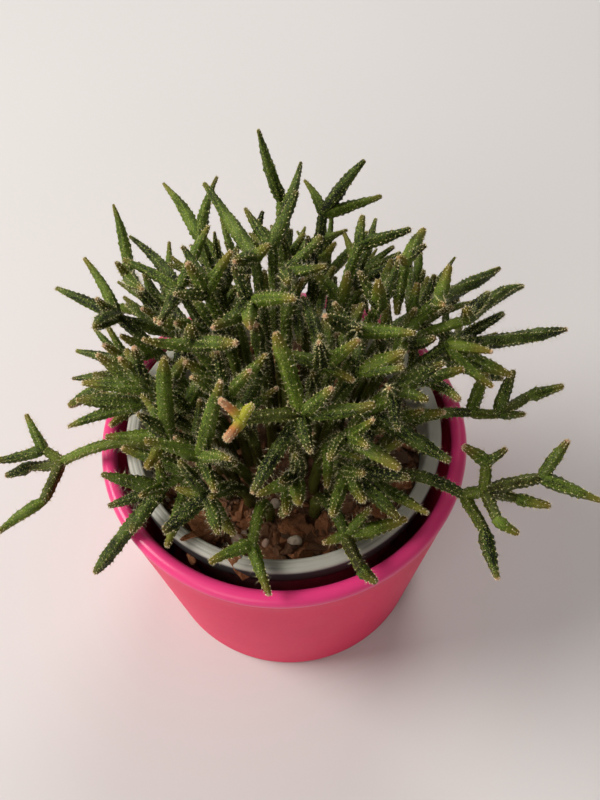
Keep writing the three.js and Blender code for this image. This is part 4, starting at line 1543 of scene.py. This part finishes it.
@dataclass(frozen=True)
class Sliver:
    """A strip of bark as seen from the front.

    Attributes:
        start: One end, as its place across and down the view and its height.
        end: The other end.
        breadth: Its breadth.
        thickness: Its thickness.
        sag: How far its ends hang below its middle.
        tone: How red it is, 0 to 1.
    """

    start: tuple[float, float, float]
    end: tuple[float, float, float]
    breadth: float
    thickness: float = 1.3
    sag: float = 0
    tone: float = 0.7


SLIVERS = (
    Sliver((188, 531, 107.5), (218, 514, 102.5), 9, 2.6, 0.6, 1),
    Sliver((180, 539, 110.6), (199, 533, 109), 2.6, 1.4, 0.3, 0.9),
    Sliver((230, 552, 112), (248, 579, 103), 4.2, 1.4, 0.4, 1),
    Sliver((189, 553, 99), (194, 564, 98), 2.6, 1.6, 0, 0.9),
)


@dataclass(frozen=True)
class Stone:
    """A stone of pumice as seen from the front.

    Attributes:
        at: Its place across and down the view and its height.
        length: Its length.
        tone: How pink it is, 0 to 1.
    """

    at: tuple[float, float, float]
    length: float
    tone: float


STONES = (
    Stone((295, 541, 97), 5.4, 0.1),
    Stone((237, 539, 97), 4.6, 0.9),
)


@dataclass
class PottingMix:
    """Bark potting mix with pumice: a rough bed, and the loose pieces on it.

    Each relief is a depth, as a share of the thickness where it is bark, and a pitch.
    """

    radius: float = 53.2
    foot_share: float = 0.82
    surface: float = 93.4
    shoulder: float = 2.2
    roughness: float = 1.3
    lump_pitch: float = 0.16
    crumb_pitch: float = 0.5
    rings: int = 34
    spokes: int = 120
    chips: int = 190
    crumbs: int = 340
    pebbles: int = 26
    chip_size: tuple[float, float, float] = (11, 6.5, 3.6)
    crumb_size: tuple[float, float, float] = (4.2, 2.8, 1.9)
    pebble_size: tuple[float, float, float] = (3.8, 3.23, 2.85)
    stone_shape: tuple[float, float, float] = (1, 0.8, 0.9)
    bark_stray: Range = (0.45, 1.1)
    pebble_stray: Range = (0.5, 1.2)
    lay_tries: int = 8
    tilt: float = 0.45
    chip_corners: int = 13
    chip_relief: tuple[float, float] = (0.34, 0.62)
    crumb_relief: tuple[float, float] = (0.16, 0.8)
    crumb_bevel: float = 0.09
    pebble_relief: tuple[float, float] = (0.5, 0.42)
    shredded_from: float = 5
    shredded_edges: Range = (2.6, 1.5)
    seed: int = 41
    draw: np.random.Generator = field(init=False)

    def __post_init__(self) -> None:
        """Starts the draws."""
        self.draw = np.random.default_rng(self.seed)

    def build(self, canes: list[Array]) -> list[bpy.types.Object]:
        """Makes the bed in the place of its solid, and the loose pieces.

        Args:
            canes: Where the canes come up.

        Returns:
            The pieces.
        """
        bark = Bark().material()
        bed = self._bed(bark)
        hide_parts("potting_mix")
        loose, stones = Clay("tone"), Clay("tone")
        batches = (
            (loose, Grit.BARK, self.chips, self.chip_size, self.bark_stray),
            (loose, Grit.BARK, self.crumbs, self.crumb_size, self.bark_stray),
            (stones, Grit.PUMICE, self.pebbles, self.pebble_size, self.pebble_stray),
        )
        for clay, kind, count, size, stray in batches:
            for _ in range(count):
                self._lay(clay, kind, np.array(size) * self.draw.uniform(*stray), canes)
        self._slivers(loose)
        for stone in STONES:
            places, faces = self._pebble(np.array(self.stone_shape) * stone.length)
            stones.add(places + VIEW.at_height(*stone.at), faces, tone=stone.tone)
        chips = loose.piece("potting_mix_bark", bark, smooth=False)
        pumice = stones.piece("potting_mix_pumice", Pumice().material())
        return [bed, chips, pumice]

    def _bed(self, finish: bpy.types.Material) -> bpy.types.Object:
        """Makes the rough-topped bed that fills the nursery pot."""
        foot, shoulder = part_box("potting_mix")[0].z / MM, self.surface - self.shoulder
        level = [(self.radius * (1 - k / self.rings), self.surface) for k in range(1, self.rings)]
        profile = [
            (0, foot),
            (self.radius * self.foot_share, foot),
            (self.radius - 0.4, shoulder),
            (self.radius, shoulder + 1),
            *level,
            (0, self.surface),
        ]
        places, faces = turned(profile, self.spokes)
        for place in places[-len(level) * self.spokes - 2:-2]:
            x, y = place[:2]
            lump = noise.noise(Vector((x * self.lump_pitch, y * self.lump_pitch, 3)))
            lump += 0.6 * noise.noise(Vector((x * self.crumb_pitch, y * self.crumb_pitch, 9)))
            place[2] += self.roughness * lump
        clay = Clay("tone")
        clay.add(places, faces, tone=0.2)
        return clay.piece("potting_mix_bed", finish)

    def _lay(self, clay: Clay, kind: Grit, size: Array, canes: list[Array]) -> None:
        """Lays one piece on the bed, clear of the canes if there is room.

        Args:
            clay: What gathers it.
            kind: What it is.
            size: Its length, breadth and thickness.
            canes: Where the canes come up.
        """
        reach = max(size[0], size[1]) / 2
        for _ in range(self.lay_tries):
            far = (self.radius - reach * 0.8) * math.sqrt(self.draw.uniform())
            turn = self.draw.uniform(0, 2 * math.pi)
            x, y = far * math.cos(turn), far * math.sin(turn)
            if min(math.hypot(x - cane[0], y - cane[1]) for cane in canes) > CANE_RADIUS + reach * 0.6:
                break
        height = self.surface + size[2] * self.draw.uniform(0.1, 0.7)
        places, faces = self._chip(size) if kind is Grit.BARK else self._pebble(size)
        tilted = Matrix.Rotation(self.draw.uniform(0, 2 * math.pi), 3, "Z")
        for axis in "XY":
            tilted = tilted @ Matrix.Rotation(self.draw.uniform(-self.tilt, self.tilt), 3, axis)
        clay.add(places @ np.array(tilted).T + spot(x, y, height), faces, tone=self.draw.uniform())

    def _chip(self, size: Array) -> tuple[Array, list]:
        """An angular, splintered chip of bark."""
        shape = bmesh.new()
        for _ in range(self.chip_corners):
            corner = self.draw.uniform(-0.5, 0.5, 3)
            corner[self.draw.integers(3)] = self.draw.choice([-0.5, 0.5])
            shape.verts.new(corner * size)
        hull = bmesh.ops.convex_hull(shape, input=shape.verts)
        loose = {item for key in ("geom_interior", "geom_unused") for item in hull[key]}
        bmesh.ops.delete(shape, geom=[v for v in loose if isinstance(v, bmesh.types.BMVert)], context="VERTS")
        thickness = float(min(size))
        if size[0] < self.shredded_from:
            width = thickness * self.crumb_bevel
            bmesh.ops.bevel(shape, geom=shape.edges[:], offset=width, segments=1, affect="EDGES")
            return self._shaped(shape, thickness, self.crumb_relief)
        for longest in self.shredded_edges:
            edges = [edge for edge in shape.edges if edge.calc_length() > longest]
            bmesh.ops.subdivide_edges(shape, edges=edges, cuts=1)
            bmesh.ops.triangulate(shape, faces=[face for face in shape.faces if len(face.verts) > 3])
        return self._shaped(shape, thickness, self.chip_relief)

    def _pebble(self, size: Array) -> tuple[Array, list]:
        """A rounded, pitted pebble."""
        shape = bmesh.new()
        bmesh.ops.create_icosphere(shape, subdivisions=3, radius=0.5)
        for corner in shape.verts:
            corner.co = Vector(corner.co * Vector(size))
        return self._shaped(shape, 1, self.pebble_relief)

    def _shaped(
        self, shape: bmesh.types.BMesh, thickness: float, relief: tuple[float, float]
    ) -> tuple[Array, list]:
        """Roughens a form and gives its vertices and faces.

        Args:
            shape: The form, which is used up.
            thickness: What the relief's depth is a share of.
            relief: The lumps' depth and pitch.

        Returns:
            Its vertices and faces.
        """
        depth, pitch = relief
        shift = Vector(self.draw.uniform(-50, 50, 3))
        shape.normal_update()
        for corner in shape.verts:
            corner.co += corner.normal * depth * thickness * noise.noise(corner.co * pitch + shift)
        shape.verts.index_update()
        places = np.array([corner.co for corner in shape.verts])
        faces = [[corner.index for corner in face.verts] for face in shape.faces]
        shape.free()
        return places, faces

    def _slivers(self, clay: Clay) -> None:
        """Sets the slivers of bark that lean over the nursery pot's edge at the front left."""
        for sliver in SLIVERS:
            start, end = (VIEW.at_height(*place) for place in (sliver.start, sliver.end))
            size = np.array([math.dist(start, end), sliver.breadth, sliver.thickness])
            places, faces = self._chip(size)
            places[:, 2] -= sliver.sag * (2 * places[:, 0] / size[0]) ** 2
            ahead = unit(end - start)
            side = unit(np.cross([0, 0, 1], ahead))
            turn = np.stack([ahead, side, np.cross(ahead, side)])
            clay.add(places @ turn + (start + end) / 2, faces, tone=sliver.tone)


@dataclass
class Lamp:
    """A soft lamp, with its place and its width in metres and its power in watts."""

    name: str
    at: tuple[float, float, float]
    width: float
    power: float
    colour: Colour
    aim: tuple[float, float, float] = (0, 0, 0.12)

    def build(self) -> None:
        """Hangs the lamp and points it at the plant."""
        data = bpy.data.lights.new(self.name, "AREA")
        data.shape = "DISK"
        data.size, data.energy, data.color = self.width, self.power, self.colour[:3]
        lamp = bpy.data.objects.new(self.name, data)
        lamp.location = self.at
        lamp.rotation_mode = "QUATERNION"
        lamp.rotation_quaternion = (Vector(self.aim) - lamp.location).to_track_quat("-Z", "Y")
        bpy.context.collection.objects.link(lamp)


@dataclass
class Studio:
    """The plain pale floor, the soft light and the camera, in metres, with the sensor in millimetres."""

    floor_width: float = 3.2
    floor_drop: float = 0.0002
    clip: Range = (0.01, 20)
    sensor: float = 36
    sky: Colour = paint(236, 234, 232)
    sky_power: float = 0.22
    lamps: tuple[Lamp, ...] = (
        Lamp("window", (-1.35, 0.1, 1.3), 1, 32, paint(255, 252, 249)),
        Lamp("front_fill", (-0.6, -1.1, 0.85), 0.9, 5, paint(255, 250, 245)),
        Lamp("back_rim", (0.3, 1.3, 1.2), 0.8, 10, paint(255, 252, 249)),
    )

    def build(self) -> None:
        """Sets up the floor, the light and the camera."""
        shape = bmesh.new()
        bmesh.ops.create_grid(shape, x_segments=4, y_segments=4, size=self.floor_width / 2)
        mesh = bpy.data.meshes.new("floor")
        shape.to_mesh(mesh)
        shape.free()
        mesh.materials.append(PaleFloor().material())
        floor = bpy.data.objects.new("floor", mesh)
        floor.location.z = -self.floor_drop
        bpy.context.collection.objects.link(floor)

        world = bpy.data.worlds.new("studio")
        world.use_nodes = True
        backdrop = world.node_tree.nodes["Background"]
        backdrop.inputs["Color"].default_value = self.sky
        backdrop.inputs["Strength"].default_value = self.sky_power
        scene = bpy.context.scene
        scene.world = world
        scene.view_settings.view_transform = "Standard"
        for lamp in self.lamps:
            lamp.build()
        self._camera()

    def _camera(self) -> None:
        """Sets the camera at the view that the object is seen in."""
        back, right, up, eye = VIEW.axes()
        data = bpy.data.cameras.new("camera")
        data.sensor_width = self.sensor
        data.lens = self.sensor * VIEW.lens / max(VIEW.width, VIEW.height)
        data.clip_start, data.clip_end = self.clip
        camera = bpy.data.objects.new("camera", data)
        turn = Matrix([right, up, back]).transposed().to_4x4()
        camera.matrix_world = Matrix.Translation(Vector(eye * MM)) @ turn
        bpy.context.collection.objects.link(camera)
        bpy.context.scene.camera = camera


def main() -> None:
    """Builds the pots, the potting mix, the plant and the studio."""
    OuterPot().build()
    NurseryPot().build()
    sprays = Growth(PLANT_SEED).grow()
    log.info("the plant has %d sprays and %d stems", len(sprays), sum(map(len, sprays.values())))
    canes = [stem.root for stems in sprays.values() for stem in stems if stem.root is not None]
    PottingMix().build(canes)
    skin, felt = StemSkin().material(), AreoleFelt().material()
    hair = [Clay("youth", "hair") for _ in range(BRISTLE_PIECES)]
    for seed, (name, stems) in enumerate(sprays.items()):
        Spray(name, stems, np.random.default_rng(seed)).build(skin, hair[seed % BRISTLE_PIECES])
    for k, gathered in enumerate(hair):
        gathered.piece(f"stems_bristles_{k + 1}", felt, smooth=False)
    Studio().build()


if __name__ == "__main__":
    logging.basicConfig(level=logging.INFO, format="%(message)s")
    main()
